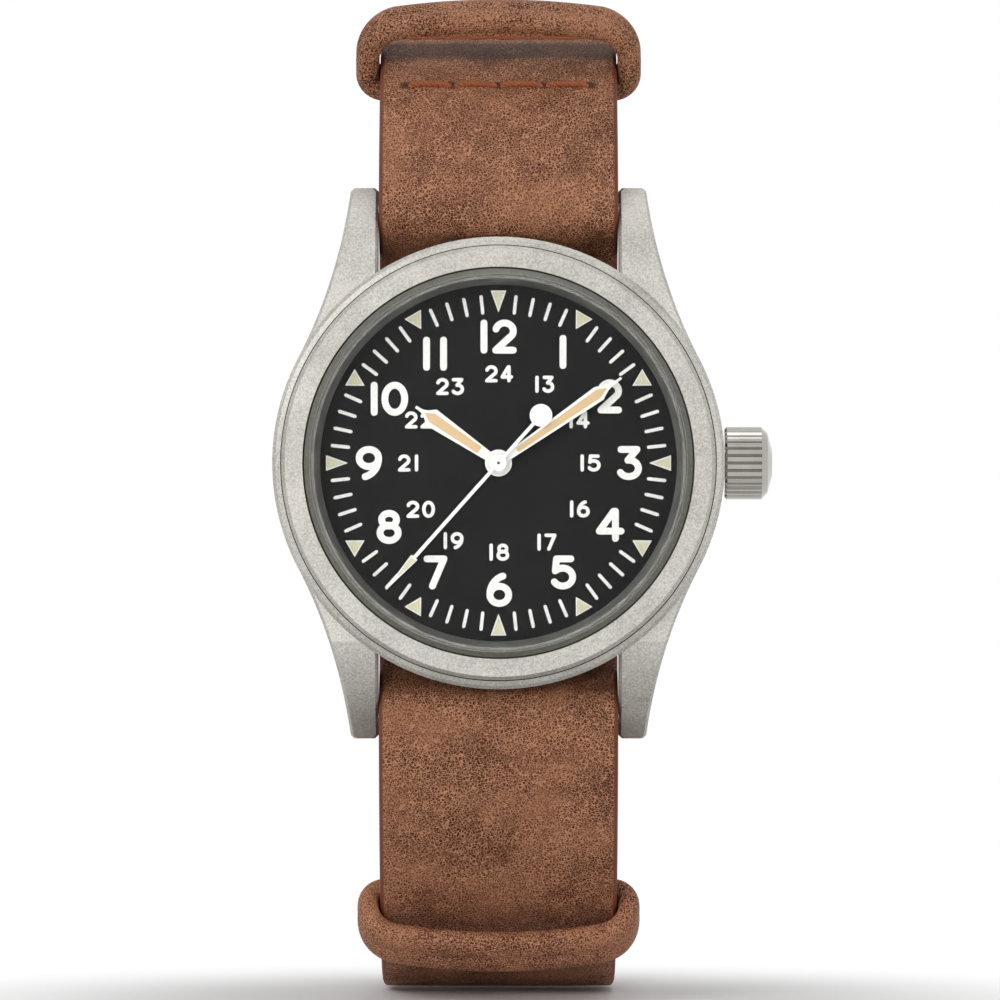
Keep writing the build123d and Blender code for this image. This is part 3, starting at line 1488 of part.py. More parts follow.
def strap_nodes():
    """Every node of the strap and its buckle, drawn in place, by name."""
    upper = half_route(
        top_tilt, top_arc_radius, top_arc_end_angle, top_back_radius, back_depth - tail_offset,
        pin_height + eye_reach
    )
    lower = half_route(
        bottom_tilt, bottom_arc_radius, bottom_arc_end_angle, bottom_back_radius, back_depth, 0,
    )
    ring_inside = bottom_arc_radius - main_thick / 2 - soft_gap - keeper_wall
    half_turn = math.degrees(keeper_width / 2 / ring_inside)
    under_upper = under_route(top_tilt, top_arc_radius, under_top_end_angle)
    under_lower = under_route(bottom_tilt, bottom_arc_radius, bottom_ring_tilt - half_turn - ring_seam)
    under = widen(under_upper.band(under_thick), strap_width)
    under += flipped(widen(under_lower.band(under_thick), strap_width))
    foot = main_thick / 2 + soft_gap
    keeper_spot = on_arc(top_tilt, top_arc_radius, top_keeper_tilt, 0)
    ring_spot = on_arc(bottom_tilt, bottom_arc_radius, bottom_ring_tilt, 0)
    floating_spot = Plane(
        origin=(0, back_depth - tail_offset, pin_height + floating_keeper_above_pin),
        x_dir=(1, 0, 0), z_dir=(0, 0, -1),
    )
    stitch_spot = on_arc(top_tilt, top_arc_radius, stitch_row_tilt, main_thick / 2)
    return {
        "main_strap": make_main_strap(upper, lower),
        "under_strap": under,
        "top_keeper": keeper_loop(keeper_spot, foot, keeper_depth, keeper_front_corner),
        "bottom_ring": flipped(keeper_loop(ring_spot, foot, keeper_depth, keeper_front_corner)),
        "floating_keeper": keeper_loop(
            floating_spot, foot, main_thick + tail_offset + 2 * soft_gap, keeper_corner
        ),
        "buckle_frame": make_buckle_frame(),
        "buckle_pin": make_buckle_pin(),
        "buckle_tongue": make_buckle_tongue(),
        "strap_stitches": stitch_row(stitch_spot),
    }


def main():
    """Write every node of the watch as its own file."""
    os.makedirs("parts", exist_ok=True)
    for name, piece in upright_nodes().items():
        save(name, [place(solid) for solid in piece] if isinstance(piece, list) else place(piece))
    for name, piece in strap_nodes().items():
        save(name, piece)
    for name, end in (("top_spring_bar", 1), ("bottom_spring_bar", -1)):
        tube, right_tip, left_tip = spring_bar(end)
        save(f"{name}", place(tube))
        save(f"{name}_right_tip", place(right_tip))
        save(f"{name}_left_tip", place(left_tip))


main()
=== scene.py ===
# %% [markdown]
# # A field watch on a leather strap
# The watch comes from its CAD model, which gives every piece its size, its place and its motion.
# This lesson dresses it: steel, glass, paint and gilt brass get materials, the dial gets its print,
# and the leather, which CAD draws as plain bands, is built again as leather.

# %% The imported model
import math

import bmesh
import bpy
from mathutils import Matrix, Vector


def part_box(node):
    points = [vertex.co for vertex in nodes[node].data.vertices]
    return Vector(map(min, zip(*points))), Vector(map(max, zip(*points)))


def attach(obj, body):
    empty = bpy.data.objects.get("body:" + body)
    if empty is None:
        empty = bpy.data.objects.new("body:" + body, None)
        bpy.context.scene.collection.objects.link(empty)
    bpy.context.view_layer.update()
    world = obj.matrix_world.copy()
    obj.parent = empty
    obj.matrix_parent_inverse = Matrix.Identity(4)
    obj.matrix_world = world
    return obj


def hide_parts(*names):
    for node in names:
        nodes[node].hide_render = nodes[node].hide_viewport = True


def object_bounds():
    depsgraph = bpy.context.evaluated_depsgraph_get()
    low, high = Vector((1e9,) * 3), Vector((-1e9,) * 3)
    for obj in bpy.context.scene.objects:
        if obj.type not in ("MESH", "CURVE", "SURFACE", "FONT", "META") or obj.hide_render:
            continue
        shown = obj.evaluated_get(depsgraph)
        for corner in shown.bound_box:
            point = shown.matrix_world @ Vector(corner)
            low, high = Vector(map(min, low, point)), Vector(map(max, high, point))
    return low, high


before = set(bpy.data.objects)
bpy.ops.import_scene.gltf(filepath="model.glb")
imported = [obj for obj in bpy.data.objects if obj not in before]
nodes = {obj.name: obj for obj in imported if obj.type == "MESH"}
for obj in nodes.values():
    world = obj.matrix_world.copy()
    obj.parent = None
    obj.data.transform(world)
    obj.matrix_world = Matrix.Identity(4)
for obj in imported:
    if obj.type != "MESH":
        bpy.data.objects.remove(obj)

mm = 0.001
cad_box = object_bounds()

# %% [markdown]
# ## Writing shader maths as Python
# A material is a graph of nodes. Wiring each Math node by hand hides the formula, so a small class wraps
# an output socket and adds the right node for each operator. A grain mask then reads like arithmetic.

# %% A socket that can be added and multiplied
def set_up(node, settings=None, **inputs):
    """Give a node its settings, then its inputs, by name or as at0, at1 by place: each a value or a link."""
    for key, value in (settings or {}).items():
        setattr(node, key, value)
    for key, value in inputs.items():
        socket = node.inputs[int(key[2:]) if key.startswith("at") else key.replace("_", " ")]
        value = value.socket if isinstance(value, Field) else value
        if isinstance(value, bpy.types.NodeSocket):
            node.id_data.links.new(value, socket)
        else:
            socket.default_value = (*value, 1) if socket.type == "RGBA" else value
    return node


class Field:
    """One number that varies over a surface, as the output of a node."""

    def __init__(self, socket):
        self.socket = socket

    def maths(self, operation, *values):
        node = self.socket.id_data.nodes.new("ShaderNodeMath")
        inputs = {f"at{place}": value for place, value in enumerate(values)}
        return Field(set_up(node, {"operation": operation}, **inputs).outputs[0])

    def __add__(self, other):
        return self.maths("ADD", self, other)

    def __sub__(self, other):
        return self.maths("SUBTRACT", self, other)

    def __rsub__(self, other):
        return self.maths("SUBTRACT", other, self)

    def __mul__(self, other):
        return self.maths("MULTIPLY", self, other)

    __radd__, __rmul__ = __add__, __mul__

    def step(self, low, high):
        """A smooth step from 0 at low to 1 at high."""
        node = self.socket.id_data.nodes.new("ShaderNodeMapRange")
        set_up(node, {"interpolation_type": "SMOOTHSTEP"}, Value=self, From_Min=low, From_Max=high)
        return Field(node.outputs["Result"])


class Finish:
    """A material in the making: its Principled shader and the nodes that feed it."""

    def __init__(self, name, **shader):
        self.material = bpy.data.materials.new(name)
        self.material.use_nodes = True
        self.tree = self.material.node_tree
        self.shader = set_up(self.tree.nodes["Principled BSDF"], **shader)
        self.place = self.node("TexCoord").outputs["Object"]

    def node(self, kind, settings=None, **inputs):
        """A shader node with its settings, then its inputs as values or links."""
        return set_up(self.tree.nodes.new("ShaderNode" + kind), settings, **inputs)

    def mix_shader(self, share, first, second):
        """Two shaders, mixed by a share and sent to the material's output."""
        mixed = self.node("MixShader", at0=share, at1=first, at2=second)
        set_up(self.tree.nodes["Material Output"], Surface=mixed.outputs[0])

    def noise(self, scale, detail=2.0, rough=0.5):
        """Soft noise with about this many lumps in a metre."""
        made = self.node("TexNoise", Vector=self.place, Scale=scale, Detail=detail, Roughness=rough)
        return Field(made.outputs["Fac"])

    def cells(self, scale, where):
        """Cracked cells, as the distance to the nearest crack."""
        made = self.node("TexVoronoi", {"feature": "DISTANCE_TO_EDGE"}, Vector=where, Scale=scale)
        return Field(made.outputs["Distance"])

    def blend(self, share, first, second):
        """Two colours, mixed by a share that varies over the surface."""
        return self.node("Mix", {"data_type": "RGBA"}, at0=share, at6=first, at7=second).outputs[2]

    def feed(self, name, value):
        """Link a varying value to one of the shader's sockets."""
        set_up(self.shader, **{name: value})

    def bump(self, height, microns, strength):
        """A height in shares of a distance in microns, as a bump in the normal."""
        relief = self.node("Bump", Height=height, Distance=microns * 0.001 * mm, Strength=strength)
        self.feed("Normal", relief.outputs[0])
        return self

# %% [markdown]
# ## Bead-blasted steel
# The case, lugs and bezel are steel that was blasted with fine glass beads, which leaves a soft grey skin
# of pits about a tenth of a millimetre across. The pits are a fine noise in the bump and the roughness, and
# a slow noise lets the grey wander a little, because an even grey looks like plastic.

# %% Blasted steel and its finer relations
def shade(colour, share, lift=0.0):
    """A colour made darker or lighter by a share."""
    return tuple(min(1.0, share * part + lift) for part in colour)


def blasted(name, colour, rough, grain=6200.0, depth=12):
    """Blasted metal: fine pits, their depth in microns, and a slow drift of the colour."""
    finish = Finish(name, Base_Color=colour, Metallic=1.0, Roughness=rough)
    pits = finish.noise(grain, 3.0, 0.65)
    cloud = finish.noise(260.0, 3.0, 0.55)
    share = (pits * 0.85 + cloud * 0.25).step(0.32, 0.78)
    finish.feed("Base Color", finish.blend(share, shade(colour, 0.66), shade(colour, 1.25)))
    finish.feed("Roughness", rough + (pits - 0.5) * 0.30)
    return finish.bump(pits, depth, 0.9)


def polished(name, colour, rough):
    """Turned and polished metal with a trace of hairlines and finger wear."""
    finish = Finish(name, Base_Color=colour, Metallic=1.0, Roughness=rough)
    wear = finish.noise(420.0, 4.0, 0.6)
    hair = finish.noise(6500.0, 2.0, 0.5)
    finish.feed("Roughness", rough + (wear - 0.5) * 0.16 + (hair - 0.5) * 0.06)
    finish.feed("Base Color", finish.blend(wear.step(0.3, 0.7), shade(colour, 0.88), colour))
    return finish.bump(hair, 2, 0.6)


case_steel = blasted("blasted steel", (0.50, 0.484, 0.447), 0.54)
bezel_steel = blasted("blasted bezel steel", (0.45, 0.435, 0.40), 0.56)
crown_steel = polished("crown steel", (0.45, 0.435, 0.402), 0.14)
back_steel = blasted("satin back steel", (0.55, 0.535, 0.505), 0.36, 5000.0, 5)
bright_steel = polished("polished steel", (0.66, 0.65, 0.635), 0.15)
buckle_steel = blasted("satin buckle steel", (0.56, 0.545, 0.515), 0.34, 7000.0, 6)
blued_steel = polished("blued steel", (0.035, 0.065, 0.20), 0.20)
print("steels made:", len(bpy.data.materials))

# %% [markdown]
# ## Gilt brass, ruby, rubber and plastic
# The plates of the movement are brass with a gilt, frosted skin, the wheels are brass turned bright, and
# the bearings are pink ruby. Rings scratched by the lathe lie round each wheel's own axis, so a wave would
# need that axis for each wheel. A frosted skin needs none, and it is what such plates often have.

# %% Movement and seals
plate_brass = blasted("gilt plate brass", (0.72, 0.47, 0.18), 0.34, 6000.0, 6)
wheel_brass = polished("bright wheel brass", (0.78, 0.55, 0.22), 0.22)


def moulded(name, colour, rough, grain=2500.0):
    """Rubber or moulded plastic: a dull skin with faint mottling."""
    finish = Finish(name, Base_Color=colour, Roughness=rough)
    mottle = finish.noise(grain, 3.0, 0.6)
    finish.feed("Base Color", finish.blend(mottle.step(0.35, 0.75), colour, shade(colour, 1.5, 0.004)))
    finish.feed("Roughness", rough + (mottle - 0.5) * 0.2)
    return finish.bump(mottle, 4, 0.7)


seal_rubber = moulded("seal rubber", (0.012, 0.012, 0.013), 0.62)
holder_plastic = moulded("holder plastic", (0.55, 0.53, 0.47), 0.45, 1200.0)
ruby = Finish("ruby", Base_Color=(0.50, 0.012, 0.055), Roughness=0.08, IOR=1.76)
clouds = ruby.noise(5200.0).step(0.3, 0.7)
ruby.feed("Base Color", ruby.blend(clouds, (0.36, 0.006, 0.035), (0.62, 0.03, 0.09)))
print("materials so far:", len(bpy.data.materials))

# %% [markdown]
# ## Glass over the dial
# The crystal is flat glass with a coating that takes most of the reflection away, so the black dial stays
# black. Glass in Cycles blocks the lamps' direct light, and the dial would lie in shadow. A mix by Is Shadow
# Ray lets that light through as if the glass were clear. Its ground bevel is a smoky ring, told apart from
# the clear faces by the way the surface faces.

# %% Coated crystal
glass = Finish("crystal glass", Base_Color=(0.985, 0.99, 0.975), Roughness=0.0, IOR=1.10,
               Transmission_Weight=1.0)
smear = glass.noise(2400.0).step(0.3, 0.7)
smoke = glass.blend(smear, (0.115, 0.112, 0.088), (0.16, 0.157, 0.128))
edge_glass = glass.node("BsdfPrincipled", Base_Color=smoke, Roughness=0.3)
facing = Field(glass.node("SeparateXYZ", Vector=glass.node("TexCoord").outputs["Normal"]).outputs["Y"])
flat = facing.maths("ABSOLUTE", facing).step(0.90, 0.98)
bevelled = glass.node("MixShader", at0=flat, at1=edge_glass.outputs[0], at2=glass.shader.outputs[0])
lamp_ray = glass.node("LightPath").outputs["Is Shadow Ray"]
glass.mix_shader(lamp_ray, bevelled.outputs[0], glass.node("BsdfTransparent").outputs[0])
print("glass made")

# %% [markdown]
# ## The dial's black, the ring round it and the paints
# The dial is matt black lacquer with a very fine orange peel. The ring that slopes up from it to the glass
# is a smooth warm grey, lighter where it catches the light. The hands' white, the dial's print and the lume
# are thick paints: in each a fine grain carries the colour from dark to light and stands in low relief.

# %% Lacquer, flange and paints
lacquer = Finish("matt dial black", Base_Color=(0.009, 0.009, 0.0092), Roughness=0.5, Specular_IOR_Level=0.08)
peel = lacquer.noise(3800.0, 3.0, 0.6)
black = lacquer.blend(peel.step(0.3, 0.8), (0.0045, 0.0045, 0.0047), (0.0085, 0.0084, 0.0085))
lacquer.feed("Base Color", black)
lacquer.feed("Roughness", 0.50 + (peel - 0.5) * 0.2)
lacquer.bump(peel, 1, 0.5)

flange_grey = Finish("flange grey", Base_Color=(0.20, 0.195, 0.18), Roughness=0.35, Metallic=0.35)
swirl = flange_grey.noise(700.0, 3.0).step(0.3, 0.7)
flange_grey.feed("Base Color", flange_grey.blend(swirl, (0.125, 0.123, 0.116), (0.18, 0.177, 0.167)))
flange_grey.bump(flange_grey.noise(5200.0), 2, 0.6)


def painted(name, dark, light, rough, grain, harsh, depth, reach=(0.3, 0.75), relief=0.7, **shader):
    """A thick paint: depth is its grain's, in microns, and reach says where dark ends and light begins."""
    finish = Finish(name, Base_Color=light, Roughness=rough, **shader)
    speckle = finish.noise(grain, 3.0, harsh)
    finish.feed("Base Color", finish.blend(speckle.step(*reach), dark, light))
    return finish.bump(speckle, depth, relief)


enamel = painted("hand white", (0.60, 0.595, 0.575), (0.70, 0.695, 0.675),
                 rough=0.36, grain=2600.0, harsh=0.5, depth=3, reach=(0.25, 0.75), relief=0.6)
dial_paint = painted("dial numeral paint", (0.56, 0.556, 0.54), (0.69, 0.684, 0.665),
                     rough=0.5, grain=5200.0, harsh=0.5, depth=6)
lume_cream = painted("dial lume", (0.432, 0.408, 0.28), (0.544, 0.52, 0.392),
                     rough=0.7, grain=6500.0, harsh=0.7, depth=10)
lume_sand = painted("hand lume", (0.46, 0.315, 0.165), (0.54, 0.385, 0.225),
                    rough=0.75, grain=7000.0, harsh=0.7, depth=10)
print("dial finishes made")

# %% [markdown]
# ## Every CAD node gets its finish
# The nodes that came from CAD keep their meshes. Their material slots are filled here, by what each is
# made of. The leather nodes are left out, because real leather is built for them further down.

# %% Finish by node
made_of = {
    case_steel: "case_middle",
    bezel_steel: "bezel",
    crown_steel: "crown",
    back_steel: "case_back",
    bright_steel: """crown_tube winding_stem ratchet_wheel crown_wheel click winding_pinion sliding_pinion
        setting_lever yoke escape_wheel pallet_fork pallet_bridge barrel_arbor cannon_pinion
        top_spring_bar top_spring_bar_right_tip top_spring_bar_left_tip
        bottom_spring_bar bottom_spring_bar_right_tip bottom_spring_bar_left_tip""",
    buckle_steel: "buckle_frame buckle_pin buckle_tongue",
    blued_steel: "hairspring mainspring bridge_screws",
    plate_brass: "mainplate barrel_bridge train_bridge balance_cock",
    wheel_brass: """centre_wheel third_wheel fourth_wheel barrel balance_wheel minute_wheel hour_wheel
        setting_wheel""",
    seal_rubber: "crystal_gasket back_gasket crown_gasket",
    holder_plastic: "movement_ring",
    ruby: "jewels",
    glass: "crystal",
    lacquer: "dial",
    flange_grey: "flange_ring",
    enamel: "hour_hand minute_hand seconds_hand",
}
dressed = []
for finish, names in made_of.items():
    for name in names.split():
        mesh = nodes[name].data
        mesh.materials.clear()
        mesh.materials.append(finish.material)
        dressed.append(name)
print("nodes with a finish:", len(dressed), "left for leather and thread:", sorted(set(nodes) - set(dressed)))

# %% [markdown]
# ## Camera, light and floor
# The photograph looks square at the dial from a good way off, so the camera stands 0.7 m in front with a
# long lens. The background is white: the world is a plain white for what the camera, metal and glass see,
# and dimmer for the light it gives, so that the lamps can still draw the forms.

# %% Camera
camera_right, camera_away, camera_low = 0.126 * mm, 0.7085, 3.11 * mm
watcher = bpy.data.cameras.new("front camera")
watcher.sensor_width = 36.0
watcher.lens = 299.6
watcher.clip_start = 0.01
camera = bpy.data.objects.new("front camera", watcher)
camera.location = (camera_right, -camera_away, -camera_low)
camera.rotation_euler = (math.radians(90), 0, 0)
scene = bpy.context.scene
scene.collection.objects.link(camera)
scene.camera = camera
scene.view_settings.view_transform = "Standard"
print("camera stands", camera_away, "m in front")

# %% White world
def white_where_seen(tree, light_given=0.45):
    """A white's strength: 1 where the camera, metal and glass see it, and less for the light it gives."""
    rays = tree.nodes.new("ShaderNodeLightPath").outputs
    seen = Field(rays["Is Camera Ray"]) + rays["Is Glossy Ray"] + rays["Is Transmission Ray"]
    return seen.maths("MINIMUM", seen, 1.0) * (1.0 - light_given) + light_given


scene.world = bpy.data.worlds.new("white studio")
scene.world.use_nodes = True
tree = scene.world.node_tree
set_up(tree.nodes["Background"], Color=(1, 1, 1), Strength=white_where_seen(tree))
print("world is white where it is seen")

# %% Soft lamps
def soft_lamp(name, place, aim, size, watts):
    """A round area lamp, as wide as its size in metres, that looks from a place at an aim."""
    light = bpy.data.lights.new(name, "AREA")
    light.shape = "DISK"
    light.size = size
    light.energy = watts
    lamp = bpy.data.objects.new(name, light)
    lamp.location = place
    lamp.rotation_euler = (Vector(aim) - Vector(place)).to_track_quat("-Z", "Y").to_euler()
    scene.collection.objects.link(lamp)
    return lamp


middle = (0.0, 0.0, 0.0)
lamps = [
    soft_lamp("key lamp", (-0.30, -0.42, 0.26), middle, size=0.32, watts=0.92),
    soft_lamp("fill lamp", (0.42, -0.30, 0.0), middle, size=0.30, watts=0.45),
    soft_lamp("low fill lamp", (-0.11, -0.40, 0.01), (0.0, 0.0, -0.02), size=0.10, watts=0.30),
    soft_lamp("top lamp", (0.05, 0.12, 0.50), (0.0, 0.02, 0.0), size=0.35, watts=0.45),
]
print("lamps:", [lamp.name for lamp in lamps])

# %% [markdown]
# ## The floor
# The watch stands on its lower loops on a pale floor. Near the watch the floor takes its shadow. Further off
# it fades to the white of the background, so no horizon line cuts the picture.

# %% Floor that fades to white
floor_height = cad_box[0][2] - 0.25 * mm
bpy.ops.mesh.primitive_plane_add(size=6.0, location=(0, 0, floor_height))
floor = bpy.context.object
floor.name = "floor"
shadow_ends, white_begins = 0.018, 0.062
paint = Finish("pale floor", Base_Color=(0.86, 0.86, 0.86), Roughness=0.9, Specular_IOR_Level=0.1)
away = Field(paint.node("VectorMath", {"operation": "LENGTH"}, Vector=paint.place).outputs["Value"])
glow = paint.node("Emission", Strength=white_where_seen(paint.tree))
paint.mix_shader(away.step(shadow_ends, white_begins), paint.shader.outputs[0], glow.outputs[0])
floor.data.materials.append(paint.material)
print("floor at", round(floor_height * 1000, 2), "mm")

# %% [markdown]
# ## The dial's print, as real paint
# Numerals on such a dial are thick paint, laid by a pad. Each digit is drawn here as strokes with round
# ends, from straight lines and arcs in a box one unit wide and high. That suits this letter, whose strokes
# are all one width. Every stroke becomes a thin raised solid that rides on the case with the dial.

# %% Bench helpers: x to 3 o'clock, y to 12 o'clock, height over the wrist, all in millimetres
def upright(x, y, height):
    """A bench point in the watch's upright place, in metres."""
    return Vector((x * mm, -height * mm, y * mm))


dial_face = -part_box("dial")[0].y / mm
print("dial face at height", round(dial_face, 3), "mm")


def arc(cx, cy, rx, ry, start, end, steps=20):
    """Points on an oval from one angle to another, in degrees from the right."""
    turns = [math.radians(start + (end - start) * step / steps) for step in range(steps + 1)]
    return [(cx + rx * math.cos(turn), cy + ry * math.sin(turn)) for turn in turns]


# %% The ten digits, as strokes in a unit box
digit_strokes = {
    "0": [arc(0.5, 0.5, 0.5, 0.5, 90, 450, 40)],
    "1": [[(0.5, 0), (0.5, 1)]],
    "2": [arc(0.5, 0.70, 0.5, 0.30, 165, -28, 22) + [(0.0, 0.0), (1.0, 0.0)]],
    "3": [[(0.04, 1), (0.92, 1), (0.42, 0.60)] + arc(0.47, 0.305, 0.53, 0.305, 85, -150, 24)],
    "4": [[(0.74, 0), (0.74, 1.0), (0.66, 1.0), (0.0, 0.27), (1.0, 0.27)]],
    "5": [[(0.90, 1), (0.14, 1), (0.07, 0.56)] + arc(0.47, 0.33, 0.53, 0.33, 130, -148, 26)],
    "6": [arc(0.5, 0.315, 0.5, 0.315, 90, 450, 36), arc(0.95, 0.34, 0.95, 0.69, 184, 106, 16)],
    "7": [[(0.0, 1.0), (1.0, 1.0), (0.32, 0.0)]],
    "8": [arc(0.5, 0.765, 0.41, 0.235, 90, 450, 32), arc(0.5, 0.28, 0.5, 0.28, 90, 450, 36)],
}
digit_strokes["9"] = [[(1 - x, 1 - y) for x, y in stroke] for stroke in digit_strokes["6"]]
print("digits drawn:", len(digit_strokes))


# %% A stroke with round ends as a thin solid
def ribbon(points, width):
    """The outline of a smooth stroke: one side, a round end, the other side, a round end."""
    def round_end(at, heading):
        middle = math.degrees(heading)
        return arc(*at, width / 2, width / 2, middle - 90, middle + 90, 7)[1:-1]

    headings = []
    for step in range(len(points)):
        before, after = points[max(step - 1, 0)], points[min(step + 1, len(points) - 1)]
        headings.append(math.atan2(after[1] - before[1], after[0] - before[0]))
    sides = []
    for side in (-1, 1):
        row = []
        for (x, y), heading in zip(points, headings):
            row.append((x - side * math.sin(heading) * width / 2, y + side * math.cos(heading) * width / 2))
        sides.append(row)
    ending, opening = round_end(points[-1], headings[-1]), round_end(points[0], headings[0] + math.pi)
    return sides[0], ending, sides[1], opening


def corners_apart(points):
    """Cut a stroke at its sharp corners, so that each piece is smooth."""
    runs, run = [], [points[0]]
    for step in range(1, len(points)):
        run.append(points[step])
        if step < len(points) - 1:
            one = Vector(points[step]) - Vector(points[step - 1])
            two = Vector(points[step + 1]) - Vector(points[step])
            if one.angle(two) > math.radians(24):
                runs.append(run)
                run = [points[step]]
    return runs + [run]


def join_rows(mesh, rows):
    """Faces between each row of points and the next, where every row is closed on itself."""
    for row, after in zip(rows, rows[1:]):
        for place, point in enumerate(row):
            beside = (place + 1) % len(row)
            mesh.faces.new((point, row[beside], after[beside], after[place]))


def walled(mesh, loops, foot, top):
    """Add a flat solid to a mesh: one loop of (x, y) makes a plate, two loops of equal length make a ring."""
    rings = [[[mesh.verts.new(upright(x, y, height)) for x, y in loop] for height in (foot, top)]
             for loop in loops]
    low, high = rings[0]
    if len(rings) == 1:
        mesh.faces.new(low[::-1])
        mesh.faces.new(high)
        join_rows(mesh, [low, high])
    else:
        inner_low, inner_high = rings[1]
        join_rows(mesh, [low, high, inner_high, inner_low, low])


def as_piece(mesh, name, finish):
    """A drawn mesh as an object of its own, with its faces turned outwards and its material."""
    bmesh.ops.recalc_face_normals(mesh, faces=mesh.faces)
    data = bpy.data.meshes.new(name)
    mesh.to_mesh(data)
    mesh.free()
    data.materials.append(finish.material)
    piece = bpy.data.objects.new(name, data)
    scene.collection.objects.link(piece)
    return piece


def thin_solid(name, shapes, foot, thick, body, finish):
    """Flat shapes as one thin piece that rides on a body. Shapes that overlap differ a little in height."""
    level_step = 0.0015
    mesh = bmesh.new()
    for order, loops in enumerate(shapes):
        walled(mesh, loops, foot, foot + thick + level_step * (order % 4))
    piece = as_piece(mesh, name, finish)
    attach(piece, body)
    return piece


def stroke_shapes(points, width):
    """One stroke as shapes for thin_solid, one for each smooth run."""
    made = []
    for run in corners_apart(points):
        right, ending, left, opening = ribbon(run, width)
        if math.dist(run[0], run[-1]) < 1e-6:
            for side in (right, left):
                side[0] = ((side[0][0] + side[-1][0]) / 2, (side[0][1] + side[-1][1]) / 2)
            made.append([right[:-1], left[:-1]])
        else:
            made.append([right + ending + left[::-1] + opening])
    return made


def digit(sign, centre, width, height, stroke):
    """A digit's outlines at its centre on the dial, in its full width and height."""
    shapes = []
    wide, high = width - stroke, height - stroke
    for points in digit_strokes[sign]:
        spread = [(centre[0] + (x - 0.5) * wide, centre[1] + (y - 0.5) * high) for x, y in points]
        shapes += stroke_shapes(spread, stroke)
    return shapes


print("strokes can be drawn")

# %% [markdown]
# ### Where the numerals stand
# The places were measured on the photograph, in millimetres from the dial's centre. A number of two digits
# is drawn digit by digit, so that the gap between them is right.

# %% Hours and the small 24-hour numbers
large_stroke, large_height, small_stroke, small_height = 0.575, 2.86, 0.29, 1.44
hour_digits = [
    ("1", (-1.225, 10.63), large_stroke), ("2", (0.505, 10.63), 2.05), ("1", (5.42, 9.34), large_stroke),
    ("2", (9.35, 5.60), 2.05), ("3", (11.0, 0.0), 2.1), ("4", (9.39, -5.20), 2.4),
    ("5", (5.45, -9.20), 2.15), ("6", (0.07, -10.66), 2.15), ("7", (-5.30, -9.20), 2.0),
    ("8", (-9.20, -5.37), 2.1), ("9", (-10.9, 0.0), 2.2), ("1", (-10.45, 5.40), large_stroke),
    ("0", (-8.72, 5.40), 2.25), ("1", (-6.05, 9.19), large_stroke), ("1", (-4.62, 9.19), large_stroke),
]
small_numbers = [
    ("24", (0.05, 7.50), 2.35), ("13", (3.89, 6.62), 1.6), ("14", (6.81, 3.63), 1.7),
    ("15", (7.74, 0.0), 1.7), ("16", (6.84, -3.86), 1.67), ("17", (4.07, -6.65), 1.6),
    ("18", (0.07, -7.50), 1.67), ("19", (-3.78, -6.53), 1.67), ("20", (-6.54, -3.89), 2.4),
    ("21", (-7.60, 0.0), 1.7), ("22", (-6.69, 3.62), 2.35), ("23", (-4.07, 6.43), 2.35),
]
shapes = []
for sign, centre, width in hour_digits:
    shapes += digit(sign, centre, width, large_height, large_stroke)
gap, gap_after_one, gap_before_one = 0.24, 0.30, 0.36
for number, (x, y), width in small_numbers:
    if number[0] == "1":
        first, second = small_stroke, width - small_stroke - gap_after_one
    elif number[1] == "1":
        first, second = width - small_stroke - gap_before_one, small_stroke
    else:
        first = second = (width - gap) / 2
    shapes += digit(number[0], (x - width / 2 + first / 2, y), first, small_height, small_stroke)
    shapes += digit(number[1], (x + width / 2 - second / 2, y), second, small_height, small_stroke)
print_height, print_thick, lume_thick = dial_face + 0.002, 0.03, 0.06
thin_solid("dial_numerals", shapes, print_height, print_thick, "case", dial_paint)
print("numerals:", len(hour_digits), "large digits,", len(small_numbers), "small numbers")

# %% [markdown]
# ### The minute track
# Sixty marks go round the dial: a bar for each minute and a triangle for each hour. A Geometry Nodes tree
# puts copies of one mark, drawn at 12 o'clock, on points at the dial's centre and turns each round it. It is
# given how many there are, the turn of the first, and which of them to leave out.

# %% A tree that repeats a mark round the dial
def new_tree(name, sockets):
    """A Geometry Nodes tree, a helper that gives its named inputs, and one that adds a node and links it."""
    made = bpy.data.node_groups.new(name, "GeometryNodeTree")
    for title, kind in {"Geometry": "Geometry", **sockets}.items():
        made.interface.new_socket(title, in_out="INPUT", socket_type="NodeSocket" + kind)
    made.interface.new_socket("Geometry", in_out="OUTPUT", socket_type="NodeSocketGeometry")
    group_input = made.nodes.new("NodeGroupInput")

    def given(title):
        return Field(group_input.outputs[title])

    def add(kind, settings=None, **inputs):
        return Field(set_up(made.nodes.new(kind), settings, **inputs).outputs[0])

    return made, given, add


def close_tree(made, geometry, given, add):
    """The tree's end: real meshes instead of instances, and their material."""
    real = add("GeometryNodeRealizeInstances", Geometry=geometry)
    coated = add("GeometryNodeSetMaterial", Geometry=real, Material=given("Paint"))
    set_up(made.nodes.new("NodeGroupOutput"), at0=coated)


ring_marks, given, add = new_tree("marks round the dial", {
    "Count": "Int", "Left Out Every": "Int", "First Turn": "Float", "Paint": "Material"})
order = add("GeometryNodeInputIndex")
kept = order.maths("MODULO", order, given("Left Out Every"))
turn = order * order.maths("DIVIDE", math.tau, given("Count")) + given("First Turn")
points = add("GeometryNodePoints", Count=given("Count"))
copies = add("GeometryNodeInstanceOnPoints", Points=points, Instance=given("Geometry"), Selection=kept,
             Rotation=add("ShaderNodeCombineXYZ", Y=turn))
close_tree(ring_marks, copies, given, add)
print("tree inputs:", [item.name for item in ring_marks.interface.items_tree if item.in_out == "INPUT"])


# %% Run a tree once and keep a plain mesh
def settle(piece):
    """Turn a piece and its modifiers into the plain mesh that they make."""
    evaluated = piece.evaluated_get(bpy.context.evaluated_depsgraph_get())
    piece.data = bpy.data.meshes.new_from_object(evaluated)
    piece.modifiers.clear()
    piece.data.name = piece.name


